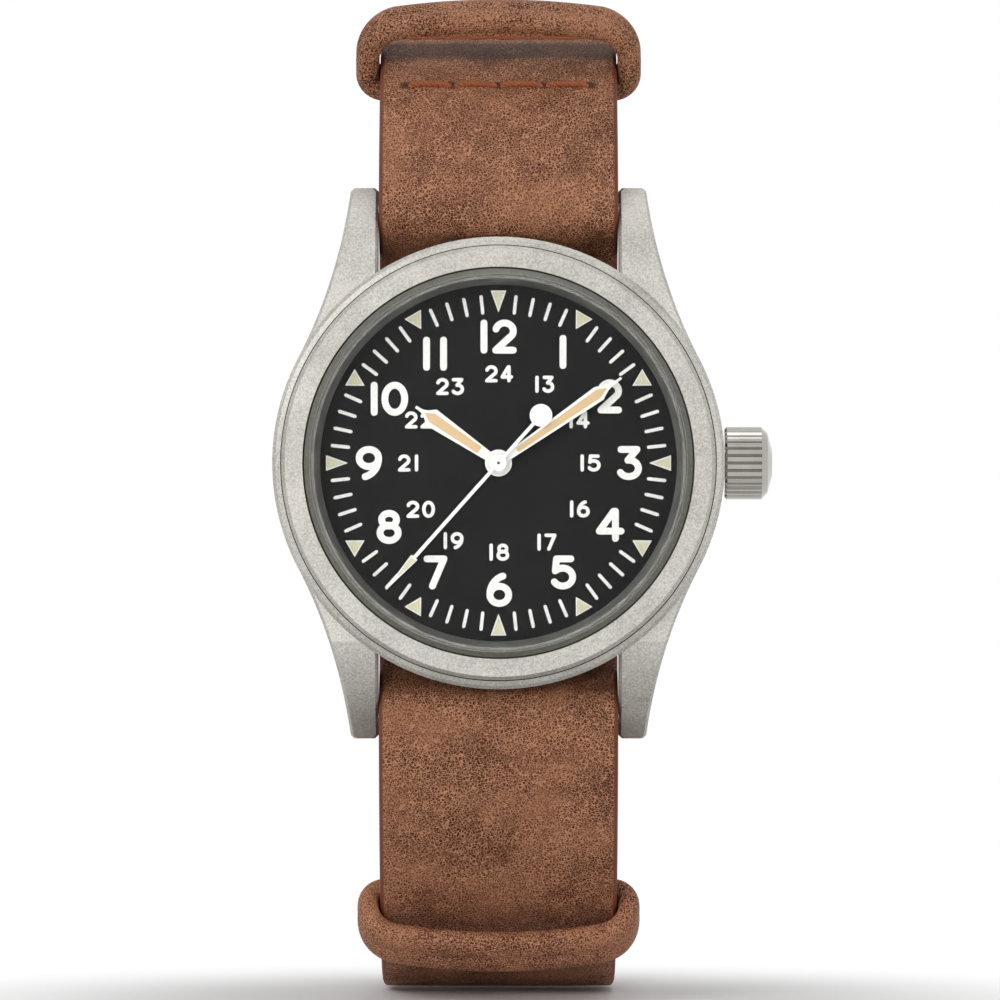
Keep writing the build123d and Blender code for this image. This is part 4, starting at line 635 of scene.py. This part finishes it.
def run_tree(piece, tree, body, slot, **values):
    """Give a piece a tree, set its inputs by their identifiers, and turn the result into a plain mesh."""
    modifier = piece.modifiers.new(tree.name, "NODES")
    modifier.node_group = tree
    sockets = {item.name: item.identifier for item in tree.interface.items_tree if item.in_out == "INPUT"}
    for key, value in values.items():
        modifier[sockets[key.replace("_", " ")]] = value
    piece.update_tag()
    settle(piece)
    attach(piece, body)
    print(piece.name, "has", len(piece.data.polygons), "faces")
    return piece


# %% Bars and triangles
def triangle(base, tip, half, inset=0.0):
    """A triangle that points inward; an inset leaves a rim of the print round the lume."""
    slope = math.hypot(half, base - tip) / half
    side = half - inset * 1.62
    return [(-side, base - inset), (0, tip + inset * slope), (side, base - inset)]


def marks_round(name, points, thick, finish, count, left_out, first):
    """One mark, drawn at 12 o'clock, and its copies round the dial: each one that left_out divides is bare."""
    mesh = bmesh.new()
    walled(mesh, [points], print_height, print_height + thick)
    run_tree(as_piece(mesh, name, finish), ring_marks, "case", "hand_white", Count=count,
             Left_Out_Every=left_out, First_Turn=first, Paint=finish.material)


bar = stroke_shapes([(0, 12.69), (0, 14.04)], 0.28)[0][0]
marks_round("dial_minute_bars", bar, print_thick, dial_paint, 60, 5, 0.0)
for name, base, tip, half, *turns in (
        ("quarter", 14.50, 12.66, 0.66, 8, 2, -math.pi / 4), ("hour", 14.42, 13.00, 0.80, 12, 3, 0.0)):
    marks_round(f"dial_{name}_triangles", triangle(base, tip, half), print_thick, dial_paint, *turns)
    marks_round(f"dial_{name}_lume", triangle(base, tip, half, 0.09), lume_thick, lume_cream, *turns)

# %% [markdown]
# ### Hands with a recess for the lume
# The CAD hands are flat plates. The real hour and minute hands are white frames with a slim, waisted finger
# at the tip, and a warm, sandy lume fills the frame a little below its face. Frame, floor and fill are drawn
# along each hand at 12 o'clock, turned to the hand's angle, and ride with it in place of the CAD plate. The
# seconds hand keeps its plate and gets a stroke of lume at the tip and the dark end of its pivot.

# %% Frames and fills
def turned_points(points, angle):
    """Points drawn at 12 o'clock, turned clockwise to an angle in degrees."""
    cos, sin = math.cos(math.radians(angle)), math.sin(math.radians(angle))
    return [(x * cos + y * sin, y * cos - x * sin) for x, y in points]


def both_sides(side):
    """A right-hand outline from root to tip, closed by its own mirror image."""
    return side + [(-x, y) for x, y in reversed(side)]


def round_plate(radius, hole, angle_count=40):
    """Two loops: a disc's edge and its hole."""
    return [arc(0, 0, size, size, 0, 360, angle_count)[:-1] for size in (radius, hole)]


def framed_hand(node, body, angle, outer, inner, hub, hole):
    """A hand's frame round its recess, its floor and hub, and the lume that fills it."""
    low, high = -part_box(node)[1].y / mm, -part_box(node)[0].y / mm
    floor_thick, lume_drop, gap, hub_lift = 0.04, 0.04, 0.005, 0.002
    outline, recess = turned_points(both_sides(outer), angle), turned_points(both_sides(inner), angle)
    mesh = bmesh.new()
    walled(mesh, [outline, recess], low, high)
    walled(mesh, [recess], low, low + floor_thick)
    walled(mesh, round_plate(hub, hole), low + hub_lift, high + 2 * hub_lift)
    frame_piece = as_piece(mesh, "framed_" + node, enamel)
    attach(frame_piece, body)
    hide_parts(node)
    lume_foot = low + floor_thick + gap
    thin_solid(node + "_lume", [[recess]], lume_foot, high - lume_drop - lume_foot, body, lume_sand)


framed_hand("hour_hand", "hours", 304.2,
            [(0.40, 1.0), (0.795, 6.83), (0.60, 7.04), (0.33, 7.36), (0.17, 7.72), (0.12, 8.05),
             (0.12, 8.40)],
            [(0.33, 1.90), (0.43, 6.72), (0.24, 7.10), (0.06, 7.42), (0.045, 7.46), (0.03, 7.47),
             (0.02, 7.48)], hub=1.13, hole=0.86)
framed_hand("minute_hand", "minutes", 55.3,
            [(0.32, 0.8), (0.65, 10.30), (0.46, 10.62), (0.25, 11.05), (0.15, 11.5), (0.11, 11.95),
             (0.10, 12.55)],
            [(0.21, 1.90), (0.38, 10.20), (0.22, 10.62), (0.06, 10.98), (0.045, 11.02), (0.03, 11.04),
             (0.02, 11.05)], hub=0.87, hole=0.63)
face, lume_depth = -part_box("seconds_hand")[0].y / mm, 0.14
lume_tip = turned_points(both_sides([(0.27, 10.72), (0.05, 12.75)]), angle=221.7)
thin_solid("seconds_hand_lume", [[lume_tip]], face - lume_depth, lume_thick, "seconds", lume_cream)
oiled_steel = moulded("oiled pivot", (0.03, 0.03, 0.03), rough=0.3)
pivot = round_plate(radius=0.13, hole=0.0, angle_count=24)[:1]
thin_solid("seconds_hand_pivot", [pivot], face - 0.01, 0.02, "seconds", oiled_steel)

# %% [markdown]
# ### The seam between bezel and case
# Bezel and case are two parts, and the line where they meet reads dark. That dark line is painted shade: a
# hair-thin ring in the seal rubber's finish lies in the seam, standing in for the shade in the joint.

# %% Seam ring of painted shade
case_top = -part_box("bezel")[1].y / mm
seam_middle, seam_width, seam_sunk, seam_thick = 18.25, 0.13, 0.05, 0.08
# Painted shade: a dark ring in the joint between bezel and case, where the seam's shade falls.
seam = round_plate(seam_middle + seam_width / 2, seam_middle - seam_width / 2, 160)
thin_solid("bezel_seam_shade", [seam], case_top - seam_sunk, seam_thick, "case", seal_rubber)

# %% [markdown]
# ## Brown leather
# The strap is pull-up leather: dark red-brown grains a quarter of a millimetre across and finer, a net of
# worn, tan ridges between them, and patches where handling has paled it. The grain follows no weave or map,
# so it is Voronoi cells in the object's own space, bent by noise. The cut edges are painted a dark red-brown,
# and an attribute called rim tells the material where they are. On the strap alone, painted shade darkens
# the stitch holes where the long stitches enter, and a painted shadow darkens a band where the upper loop
# sits.

# %% Leather material
stitch_pitch = 3.9                         # from one long stitch to the next, in mm
stitch_row = Vector((0.0, -0.67, 32.17))   # where their row lies
hole_shade_full, hole_shade_end = 0.16, 0.62             # how far the painted shade of a stitch hole is darkest, and where it ends
row_half, row_end = 8.3, 8.6               # where the row of painted hole shade begins to stop, and stops
loop_spot = Vector((0.0, 3.46, 34.11))     # where the upper loop crosses the strap
loop_way = Vector((0.0, 0.866, 0.500))     # the strap's way there
shadow_start, shadow_full, shadow_fade, shadow_stop = -1.0, 0.3, 2.4, 3.2   # the painted shadow under the loop, along that way


def from_spot(way, spot):
    """How far a coordinate lies from a spot that is given in mm."""
    return way - spot * mm


def worn_leather(name, ridges, dots, pits=False):
    """Tan ridges round dark grains and finer dots; on the strap, painted shade in its stitch holes and under
    its loop.
    """
    hide = Finish(name, Base_Color=(0.28, 0.11, 0.052), Roughness=0.6, Specular_IOR_Level=0.2)
    drift = hide.node("TexNoise", Vector=hide.place, Scale=900.0, Detail=2.0).outputs["Color"]
    centred = hide.node("VectorMath", {"operation": "SUBTRACT"}, at0=drift, at1=(0.5, 0.5, 0.5)).outputs[0]
    small = hide.node("VectorMath", {"operation": "SCALE"}, Vector=centred, Scale=0.7 * mm).outputs[0]
    bent = hide.node("VectorMath", {"operation": "ADD"}, at0=hide.place, at1=small).outputs[0]
    net = 1.0 - hide.cells(4000.0, bent).step(0.0, 0.16)
    fine_net = 1.0 - hide.cells(8000.0, bent).step(0.0, 0.34)
    fleck = hide.noise(7800.0, 3.0, 0.75)
    specks = hide.noise(7600.0, 2.0, 0.6).step(0.30, 0.68)
    patch = hide.noise(150.0, 4.0, 0.6)
    drier = hide.noise(420.0, 3.0, 0.6).step(0.35, 0.65)
    lines = net * (0.33 + drier * 0.45) * ridges + fine_net * 0.40 * ridges + (fleck - 0.5)
    tan_share = (lines + specks * dots + (patch - 0.5) * 0.6).step(0.24, 0.82)
    colour = hide.blend(tan_share, (0.050, 0.0100, 0.0028), (0.560, 0.262, 0.144))
    colour = hide.blend(patch.step(0.46, 0.72) * 0.28, colour, (0.335, 0.136, 0.068))
    rim = Field(hide.node("Attribute", {"attribute_name": "rim"}).outputs["Fac"])
    edge_paint = hide.blend(fleck.step(0.3, 0.7), (0.145, 0.040, 0.021), (0.21, 0.064, 0.036))
    colour = hide.blend(rim, colour, edge_paint)
    # On the strap alone: painted shade in the stitch holes, and a painted shadow under the upper loop.
    if pits:
        spot = hide.node("SeparateXYZ", Vector=hide.place)
        x, y, z = (Field(spot.outputs[axis]) for axis in range(3))
        # Painted shade: dark spots where the long stitches enter, standing in for the shade in their holes.
        nearest = x.maths("PINGPONG", x + 2 * stitch_pitch * mm, stitch_pitch / 2 * mm)
        row_y, row_z = from_spot(y, stitch_row.y), from_spot(z, stitch_row.z)
        away = nearest * nearest * 0.6 + row_y * row_y + row_z * row_z
        hole_shade = 1.0 - away.step((hole_shade_full * mm) ** 2, (hole_shade_end * mm) ** 2)
        inside = 1.0 - x.maths("ABSOLUTE", x).step(row_half * mm, row_end * mm)
        colour = hide.blend(hole_shade * inside * 0.82, colour, (0.030, 0.008, 0.003))
        # Painted shadow: a dark band across the strap just under the upper loop, where the loop's shade falls.
        under_loop = from_spot(y, loop_spot.y) * loop_way.y + from_spot(z, loop_spot.z) * loop_way.z
        loop_shadow = under_loop.step(shadow_start * mm, shadow_full * mm)
        loop_shadow = loop_shadow * (1.0 - under_loop.step(shadow_fade * mm, shadow_stop * mm))
        loop_shadow = loop_shadow * z.step(20 * mm, 22 * mm) * (1.0 - y.step(6 * mm, 8 * mm))  # above and in front alone
        colour = hide.blend(loop_shadow * 0.66, colour, (0.020, 0.009, 0.005))
    hide.feed("Base Color", colour)
    hide.feed("Roughness", 0.66 - tan_share * 0.14 + rim * 0.05)
    return hide.bump((net * 0.5 + fine_net * 0.3 + fleck * 0.4) * (1.0 - rim * 0.85), 60, 0.7)


# On the strap, pits=True adds painted shade in the stitch holes and a painted shadow under the upper loop.
leather = worn_leather("brown strap leather", 1.0, 0.12, pits=True)
keeper_leather = worn_leather("fine keeper leather", 0.45, 0.62)
print("leather nodes:", len(leather.tree.nodes), "and", len(keeper_leather.tree.nodes))

# %% [markdown]
# ### The line that the strap follows
# Seen from the side, the strap runs flat behind the case, turns over each spring bar and rounds the wrist
# in large arcs to the buckle. The line is walked leg by leg, straight or bent, as a maker would bend a strip
# round formers, and the lengths are those of the CAD model, whose case and bars it has to fit.

# %% Walking the line
bar_z, bar_reach, bar_wrap = 5.35, 21.3, 1.8
leather_thick, under_thick, layer_gap = 1.6, 1.5, 0.1
strap_depth, flat_run, case_bend, under_bend = -2.4, 16.0, 2.4, 3.0
upper_arc, lower_arc = (21.6, 24.4), (9.5, 27.8)   # each arc's tilt in degrees and its radius
pin = (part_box("buckle_pin")[0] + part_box("buckle_pin")[1]) / 2 / mm
tail_gap, tail_end = 3.05, 24.0
strap_back = pin.y + tail_gap
print("buckle pin at depth", round(pin.y, 2), "height", round(pin.z, 2))


def ahead(heading):
    """The way of a heading, in degrees from depth towards height."""
    return Vector((math.cos(math.radians(heading)), math.sin(math.radians(heading))))


def leftward(heading):
    """The way to its left, which is outwards on the strap."""
    return Vector((-math.sin(math.radians(heading)), math.cos(math.radians(heading))))


class Walk:
    """Places and headings along a line of straights and bends, in depth and height."""

    def __init__(self, start, heading, step=0.35):
        self.at, self.heading, self.step = Vector(start), heading, step
        self.track = [(self.at.copy(), heading)]

    def straight(self, length):
        count = max(2, round(length / self.step))
        for number in range(1, count + 1):
            self.track.append((self.at + ahead(self.heading) * length * number / count, self.heading))
        self.at = self.track[-1][0].copy()

    def bend(self, radius, sweep):
        side = math.copysign(radius, sweep)
        centre = self.at + leftward(self.heading) * side
        count = max(4, round(abs(math.radians(sweep)) * radius / self.step), round(abs(sweep) / 6))
        for number in range(1, count + 1):
            heading = self.heading + sweep * number / count
            self.track.append((centre - leftward(heading) * side, heading))
        self.at, self.heading = self.track[-1][0].copy(), self.heading + sweep


def arc_middle(tilt, radius):
    reach, lean = radius - bar_wrap, math.radians(tilt)
    return Vector((-bar_z + reach * math.cos(lean), bar_reach - reach * math.sin(lean)))


def half_strap(tilt, radius, arc_end, back_radius, depth, back_end):
    """From the middle of the case's back over a spring bar, round the wrist and down the strap's back."""
    walk = Walk((strap_depth, 0), 90)
    walk.straight(flat_run)
    corner = walk.at + leftward(90) * case_bend
    to_bar, across = Vector((-bar_z, bar_reach)) - corner, case_bend + bar_wrap
    run = math.sqrt(to_bar.length**2 - across**2)
    heading = math.degrees(math.atan2(to_bar.y, to_bar.x) + math.pi / 2 - math.atan2(run, across))
    walk.bend(case_bend, heading - 90)
    walk.straight(run)
    walk.bend(bar_wrap, 90 - tilt - heading)
    walk.bend(radius, tilt - arc_end)
    lean = math.radians(walk.heading)
    walk.straight((depth - walk.at.x - back_radius - back_radius * math.sin(lean)) / math.cos(lean))
    walk.bend(back_radius, -90 - walk.heading)
    walk.straight(walk.at.y - back_end)
    return walk.track


def half_under(tilt, radius, end):
    """The second layer: straight across the wrist side of the case, then on inside the strap's arc."""
    inside = radius - (leather_thick + under_thick) / 2 - layer_gap
    centre, start = arc_middle(tilt, radius), -under_thick / 2
    across, reach = centre.x - start - under_bend, inside - under_bend
    rise = math.sqrt(reach**2 - across**2)
    meet = math.degrees(math.asin(rise / reach))
    walk = Walk((start, 0), 90)
    walk.straight(centre.y + rise)
    walk.bend(under_bend, -meet)
    walk.bend(inside, meet - end)
    return walk.track


def joined(lower, upper):
    """The lower half, drawn like the upper one and turned over, and then the upper half, as one line."""
    flipped = [(Vector((at.x, -at.y)), 180 - heading) for at, heading in reversed(lower)]
    return flipped[:-1] + upper


upper_half = half_strap(*upper_arc, arc_end=100, back_radius=15, depth=strap_back - tail_gap,
                        back_end=pin.z + 1.2)
lower_half = half_strap(*lower_arc, arc_end=112, back_radius=16, depth=strap_back, back_end=0)
tail = Walk((strap_back, 0), -90)
tail.straight(tail_end)
strap_line = joined(lower_half + tail.track[1:], upper_half)
under_line = joined(half_under(*lower_arc, end=46.3), half_under(*upper_arc, end=52.5))
length = sum((b[0] - a[0]).length for a, b in zip(strap_line, strap_line[1:]))
print("main strap is", round(length), "mm long; second layer has", len(under_line), "stations")

# %% [markdown]
# ### A strip of leather along that line
# A section with softly rounded edges is carried along the line. Its faces are crowned a little, because
# leather is pressed thinner at its cut edges, and rim is written on the points of those edges.

# %% Carrying a section along a line
def leather_section(width, thick, round_edge=0.42, crown=0.05):
    """Points (across, lift, rim) round a strip, from one corner of the outer face all the way round."""
    flat_half, points = width / 2 - round_edge, []
    for side, count in ((1, 24), (-1, 12)):
        for step in range(count + 1):
            x = side * (2 * step / count - 1)
            points.append((x * flat_half, side * (thick / 2 - crown * x**4), 0.0))
        for step in range(1, 8):
            turn = math.radians(side * 90 - 180 * step / 8)
            across = side * flat_half + round_edge * math.cos(turn)
            points.append((across, (thick / 2 - crown) * math.sin(turn), 1.0))
    return points


def strip(name, line, section, widths=None):
    """Sweep a section along a line in depth and height; widths may narrow it, as at a pointed tail."""
    mesh = bmesh.new()
    rim_layer = mesh.verts.layers.float.new("rim")
    rows = []
    for place, (at, heading) in enumerate(line):
        share = widths[place] if widths else 1.0
        is_end = place in (0, len(line) - 1)
        out, row = leftward(heading), []
        for x, lift, rim in section:
            vert = mesh.verts.new(Vector((x * share, at.x + out.x * lift, at.y + out.y * lift)) * mm)
            vert[rim_layer] = 1.0 if is_end else rim
            row.append(vert)
        rows.append(row)
    join_rows(mesh, rows)
    mesh.faces.new(rows[0][::-1])
    mesh.faces.new(rows[-1])
    for face in mesh.faces:
        face.smooth = len(face.verts) == 4
    return as_piece(mesh, name, leather)


strap_half, half_tip, widths = 10.0, 3.64, []
for at, heading in strap_line:
    in_tail = at.x > strap_back - 0.01 and at.y > 1.0
    widths.append(min(1.0, (half_tip + tail_end - at.y) / strap_half) if in_tail else 1.0)
main_section = leather_section(width=20.2, thick=leather_thick)
under_section = leather_section(width=20.0, thick=under_thick, round_edge=0.38)
main_strap = strip("leather_main_strap", strap_line, main_section, widths)
under_strap = strip("leather_under_strap", under_line, under_section)
print("strap faces:", len(main_strap.data.polygons), len(under_strap.data.polygons))

# %% [markdown]
# ### The strap's eye and holes
# At its end the strap is sewn round the buckle's pin, with a slot for the tongue, and holes are punched in
# its tail. The rolled eye is joined on as a round bar, and the rest is cut out as the punch would cut it.

# %% Eye, tongue slot and punched holes
def cutter(radius, depth, place, axis):
    """A round bar along X or Y, in mm, to carve with."""
    bpy.ops.mesh.primitive_cylinder_add(radius=radius * mm, depth=depth * mm, vertices=40)
    made = bpy.context.object
    spin = Matrix.Rotation(math.radians(90), 4, "X" if axis == "Y" else "Y")
    made.data.transform(Matrix.Translation(Vector(place) * mm) @ spin)
    return made


def carve(piece, tool, operation="DIFFERENCE"):
    """Cut a tool out of a piece, or join it on, and take the tool away."""
    modifier = piece.modifiers.new("carve", "BOOLEAN")
    modifier.operation, modifier.object, modifier.solver = operation, tool, "EXACT"
    settle(piece)
    bpy.data.objects.remove(tool)


eye_radius, eye_wide, bore_radius, slot_wide, slot_long = 1.83, 19.6, 0.83, 3.0, 3.4
hole_radius, hole_pitch, hole_count, holes_below = 1.15, 6.5, 7, 2
carve(main_strap, cutter(eye_radius, eye_wide, (0, pin.y, pin.z), "X"), "UNION")
carve(main_strap, cutter(bore_radius, 26, (0, pin.y, pin.z), "X"))
bpy.ops.mesh.primitive_cube_add(size=1.0)
slot_tool = bpy.context.object
slot_size = Matrix.Diagonal((slot_wide * mm, slot_long * mm, slot_long * mm, 1))
slot_tool.data.transform(Matrix.Translation(pin * mm) @ slot_size)
carve(main_strap, slot_tool)
for count in range(hole_count):
    height = pin.z + (count - holes_below) * hole_pitch
    carve(main_strap, cutter(hole_radius, 3.2, (0, strap_back, height), "Y"))
print("strap after carving:", len(main_strap.data.polygons), "faces")

for piece, node in ((main_strap, "main_strap"), (under_strap, "under_strap")):
    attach(piece, "case")
    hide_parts(node)

# %% [markdown]
# ### Loops of rolled leather
# Each keeper is a strip rolled over at its edge and closed to a loop. It could be cut from a block, but the
# roll, the valley behind it and the soft corners are a section carried round a loop, so that is how it is
# made: a section in which the bead stands along one edge, round a path with broad corners at the front.

# %% Loop and section
def loop_path(half, back, front, crown, back_corner, front_corner):
    """Points (x, y, outward x, outward y) round a keeper: y grows to the wrist, and the front is arched."""
    side_back, side_front, flat_half = back - back_corner, front + front_corner, half - back_corner
    side = arc(flat_half, side_back, back_corner, back_corner, 90, 0, 8)
    side += [(half, side_back + (side_front - side_back) * step / 6) for step in range(1, 6)]
    side += arc(half - front_corner, side_front, front_corner, front_corner, 0, -74, 12)
    edge_x, edge_y = side[-1]
    shares = [1 - step / 12 for step in range(1, 24)]
    arch = [(edge_x * share, edge_y - (edge_y - front + crown) * (1 - share**2)) for share in shares]
    flat_back = [(flat_half * (step / 7 - 1), back) for step in range(1, 14)]
    points = side + arch + [(-x, y) for x, y in reversed(side)] + flat_back
    placed = []
    for place, (x, y) in enumerate(points):
        before, after = points[place - 1], points[(place + 1) % len(points)]
        along = Vector((after[0] - before[0], after[1] - before[1])).normalized()
        placed.append((x, y, -along.y, along.x))
    return placed


def band_section(width, thick, bead):
    """Points (along the strap, outwards) round a keeper's band: domed outside, flat inside, with a bead."""
    half, points = width / 2, []
    for step in range(29):
        u = -half + width * step / 28
        share = u / half
        lift = thick / 2 * max(0.0, 1 - abs(share) ** 3.2) ** 0.5
        lift -= bead * math.exp(-(((u + 0.12 * width / 2) / 0.42) ** 2))
        lift -= 0.5 * bead * max(0.0, share)
        points.append((u, lift))
    for step in range(1, 20):
        u = half - width * step / 20
        points.append((u, -thick / 2 * max(0.0, 1 - abs(u / half) ** 7) ** 0.5))
    return points


def across_strap(tilt, radius, at_tilt, mirror=1):
    """A keeper's plane on the strap's large arc: its place, its wristward way and its way along the strap."""
    lean = math.radians(at_tilt)
    at = arc_middle(tilt, radius) + Vector((-math.cos(lean), math.sin(lean))) * radius
    along = ahead(90 - at_tilt)
    wristward = Vector((math.cos(lean), -math.sin(lean)))
    return [Vector((0, way.x, mirror * way.y)) for way in (at, wristward, along)]


def keeper(name, node, body, plane, path, section):
    """Carry a section round a path in a keeper's plane: a closed loop that takes the CAD node's place."""
    at, wristward, along = plane
    mesh = bmesh.new()
    rows = []
    for x, y, out_x, out_y in path:
        row = []
        for u, lift in section:
            spot = at + wristward * (y + out_y * lift) + along * u + Vector((x + out_x * lift, 0, 0))
            row.append(mesh.verts.new(spot * mm))
        rows.append(row)
    join_rows(mesh, rows + rows[:1])
    bmesh.ops.remove_doubles(mesh, verts=mesh.verts, dist=1e-6)
    for face in mesh.faces:
        face.smooth = True
    piece = as_piece(mesh, name, keeper_leather)
    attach(piece, body)
    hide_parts(node)
    print(name, "is", [round(part * 1000, 2) for part in piece.dimensions], "mm over all")


# %% The three loops
wall, top_wall, ring_wall, snug, loose = 1.7, 2.05, 1.9, 0.18, 0.22
back, corner = 1.0 + wall / 2, 1.45
top_plane = across_strap(*upper_arc, at_tilt=60.0)
low_plane = across_strap(*lower_arc, at_tilt=51.0, mirror=-1)
pin_plane = [Vector((0, pin.y, pin.z + 9.0)), Vector((0, -1, 0)), Vector((0, 0, -1))]
high_path = loop_path(half=strap_half + snug + top_wall / 2, back=back, front=-4.25, crown=0.55,
                      back_corner=corner, front_corner=3.3)
round_path = loop_path(half=strap_half + snug + ring_wall / 2, back=back, front=-2.2 - ring_wall / 2,
                       crown=0.8, back_corner=corner, front_corner=3.05)
flat_front = 1.0 - (leather_thick + tail_gap + 0.4) - wall / 2
flat_path = loop_path(half=strap_half + loose + wall / 2, back=back, front=flat_front, crown=0.8,
                      back_corner=corner, front_corner=corner)
keeper("leather_top_keeper", "top_keeper", "top_keeper", top_plane, high_path,
       band_section(width=4.2, thick=top_wall, bead=0.34))
keeper("leather_bottom_ring", "bottom_ring", "case", low_plane, round_path,
       band_section(width=4.6, thick=ring_wall, bead=0.10))
keeper("leather_floating_keeper", "floating_keeper", "floating_keeper", pin_plane, flat_path,
       band_section(width=4.2, thick=wall, bead=0.06))

# %% [markdown]
# ### The seam strip of the upper loop
# Under the rolled edge of the upper loop a strip of its leather turns down, with a straight lower edge and
# the loop's own seam along it. It fills the arch of the roll, and the strap lies in its shadow.

# %% Seam strip
def arch_strip(name, body, plane, half_width, low_y, high_y, along_from, along_to):
    """A thin plate in a keeper's plane, nearly straight at its foot and arched at its top."""
    at, wristward, along = plane
    column = half_width / 12
    edge = [(x * column, low_y + 0.07 * math.sin(x * 1.9)) for x in range(-12, 13)]
    edge += [(x * column, high_y + (low_y - high_y) * abs(x / 12) ** 2.4) for x in range(11, -12, -1)]
    mesh = bmesh.new()
    rows = [[mesh.verts.new((at + wristward * y + along * u + Vector((x, 0, 0))) * mm) for x, y in edge]
            for u in (along_from, along_to)]
    mesh.faces.new(rows[0])
    mesh.faces.new(rows[1][::-1])
    join_rows(mesh, rows)
    piece = as_piece(mesh, name, keeper_leather)
    bevel = piece.modifiers.new("soft edge", "BEVEL")
    bevel.width, bevel.segments, bevel.limit_method = 0.14 * mm, 3, "ANGLE"
    settle(piece)
    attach(piece, body)
    return piece


arch_strip("leather_keeper_seam_strip", "top_keeper", top_plane, half_width=9.4, low_y=-3.30, high_y=-4.25,
           along_from=-1.75, along_to=-0.9)

# %% [markdown]
# ### Stitches of twisted thread
# Four long stitches hold the second layer to the strap, and four smaller ones close the seam of the upper
# loop. Thread is three strands laid round each other. A Geometry Nodes tree turns a straight line into
# such strands, sinks both ends in the leather and repeats the stitch on every point of the piece.

# %% Thread material
thread = painted("waxed thread", (0.20, 0.045, 0.014), (0.46, 0.14, 0.045), rough=0.5, grain=9000.0,
                 harsh=0.7, depth=40, relief=0.8, Specular_IOR_Level=0.35)
print("thread material made")


# %% A tree for stitches
stitches, given, add = new_tree("stitches of three strands", {
    "Length": "Float", "Strand": "Float", "Twists": "Float", "Lift": "Float", "Lean": "Float",
    "Paint": "Material"})
line = add("GeometryNodeCurvePrimitiveLine", Start=add("ShaderNodeCombineXYZ", X=given("Length") * -0.5),
           End=add("ShaderNodeCombineXYZ", X=given("Length") * 0.5))
line = add("GeometryNodeResampleCurve", Curve=line, Count=22)
along = add("GeometryNodeSplineParameter")
from_middle = along * 2.0 - 1.0
sink = from_middle.maths("POWER", from_middle * from_middle, 2.0)
rise = (1.0 - sink * 2.2) * given("Lift")
strands = stitches.nodes.new("GeometryNodeJoinGeometry")
section = add("GeometryNodeCurvePrimitiveCircle", Resolution=6, Radius=given("Strand"))
for number in range(3):
    turn = along * given("Twists") * math.tau + number * math.tau / 3
    swing = given("Strand") * 0.95
    offset = add("ShaderNodeCombineXYZ", Y=turn.maths("COSINE", turn) * swing,
                 Z=turn.maths("SINE", turn) * swing + rise)
    strand = add("GeometryNodeSetPosition", Geometry=line, Offset=offset)
    strand = add("GeometryNodeCurveToMesh", Curve=strand, Profile_Curve=section, Fill_Caps=True)
    stitches.links.new(strand.socket, strands.inputs[0])
copies = add("GeometryNodeInstanceOnPoints", Points=given("Geometry"), Instance=strands.outputs[0],
             Rotation=add("ShaderNodeCombineXYZ", X=given("Lean")))
close_tree(stitches, add("GeometryNodeSetShadeSmooth", Geometry=copies), given, add)


# %% Two rows of stitches
def four_stitches(name, middle, out, body, **sizes):
    """Four stitches in a row across the strap, each standing on its point and leaning outwards."""
    data = bpy.data.meshes.new(name)
    spots = [middle + Vector(((count - 1.5) * stitch_pitch, 0, 0)) for count in range(4)]
    data.from_pydata([spot * mm for spot in spots], [], [])
    piece = bpy.data.objects.new(name, data)
    scene.collection.objects.link(piece)
    lean = math.atan2(-out.y, out.z)
    return run_tree(piece, stitches, body, "thread", Lean=lean, Paint=thread.material, **sizes)


at, wristward, along_way = across_strap(*upper_arc, at_tilt=49.6)
on_strap = leather_thick / 2
row = four_stitches("strap_stitch_row", at - wristward * on_strap, -wristward, "case", Length=3.55 * mm,
                    Strand=0.155 * mm, Twists=2.4, Lift=0.14 * mm)
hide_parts("strap_stitches")
at, wristward, along_way = top_plane
seam_out, seam_up, seam_left = 3.52, 1.76, 0.42
seam_middle = at - wristward * seam_out - along_way * seam_up - Vector((seam_left, 0, 0))
four_stitches("keeper_stitch_row", seam_middle, -along_way, "top_keeper", Length=3.7 * mm,
              Strand=0.085 * mm, Twists=3.0, Lift=0.05 * mm)

# %% [markdown]
# ## The CAD box, and the end
# The box of the CAD model is printed.

# %% Print the CAD box and finish
def plain(bounds):
    return [[float(part) for part in corner] for corner in bounds]


print("CAD box", plain(cad_box))
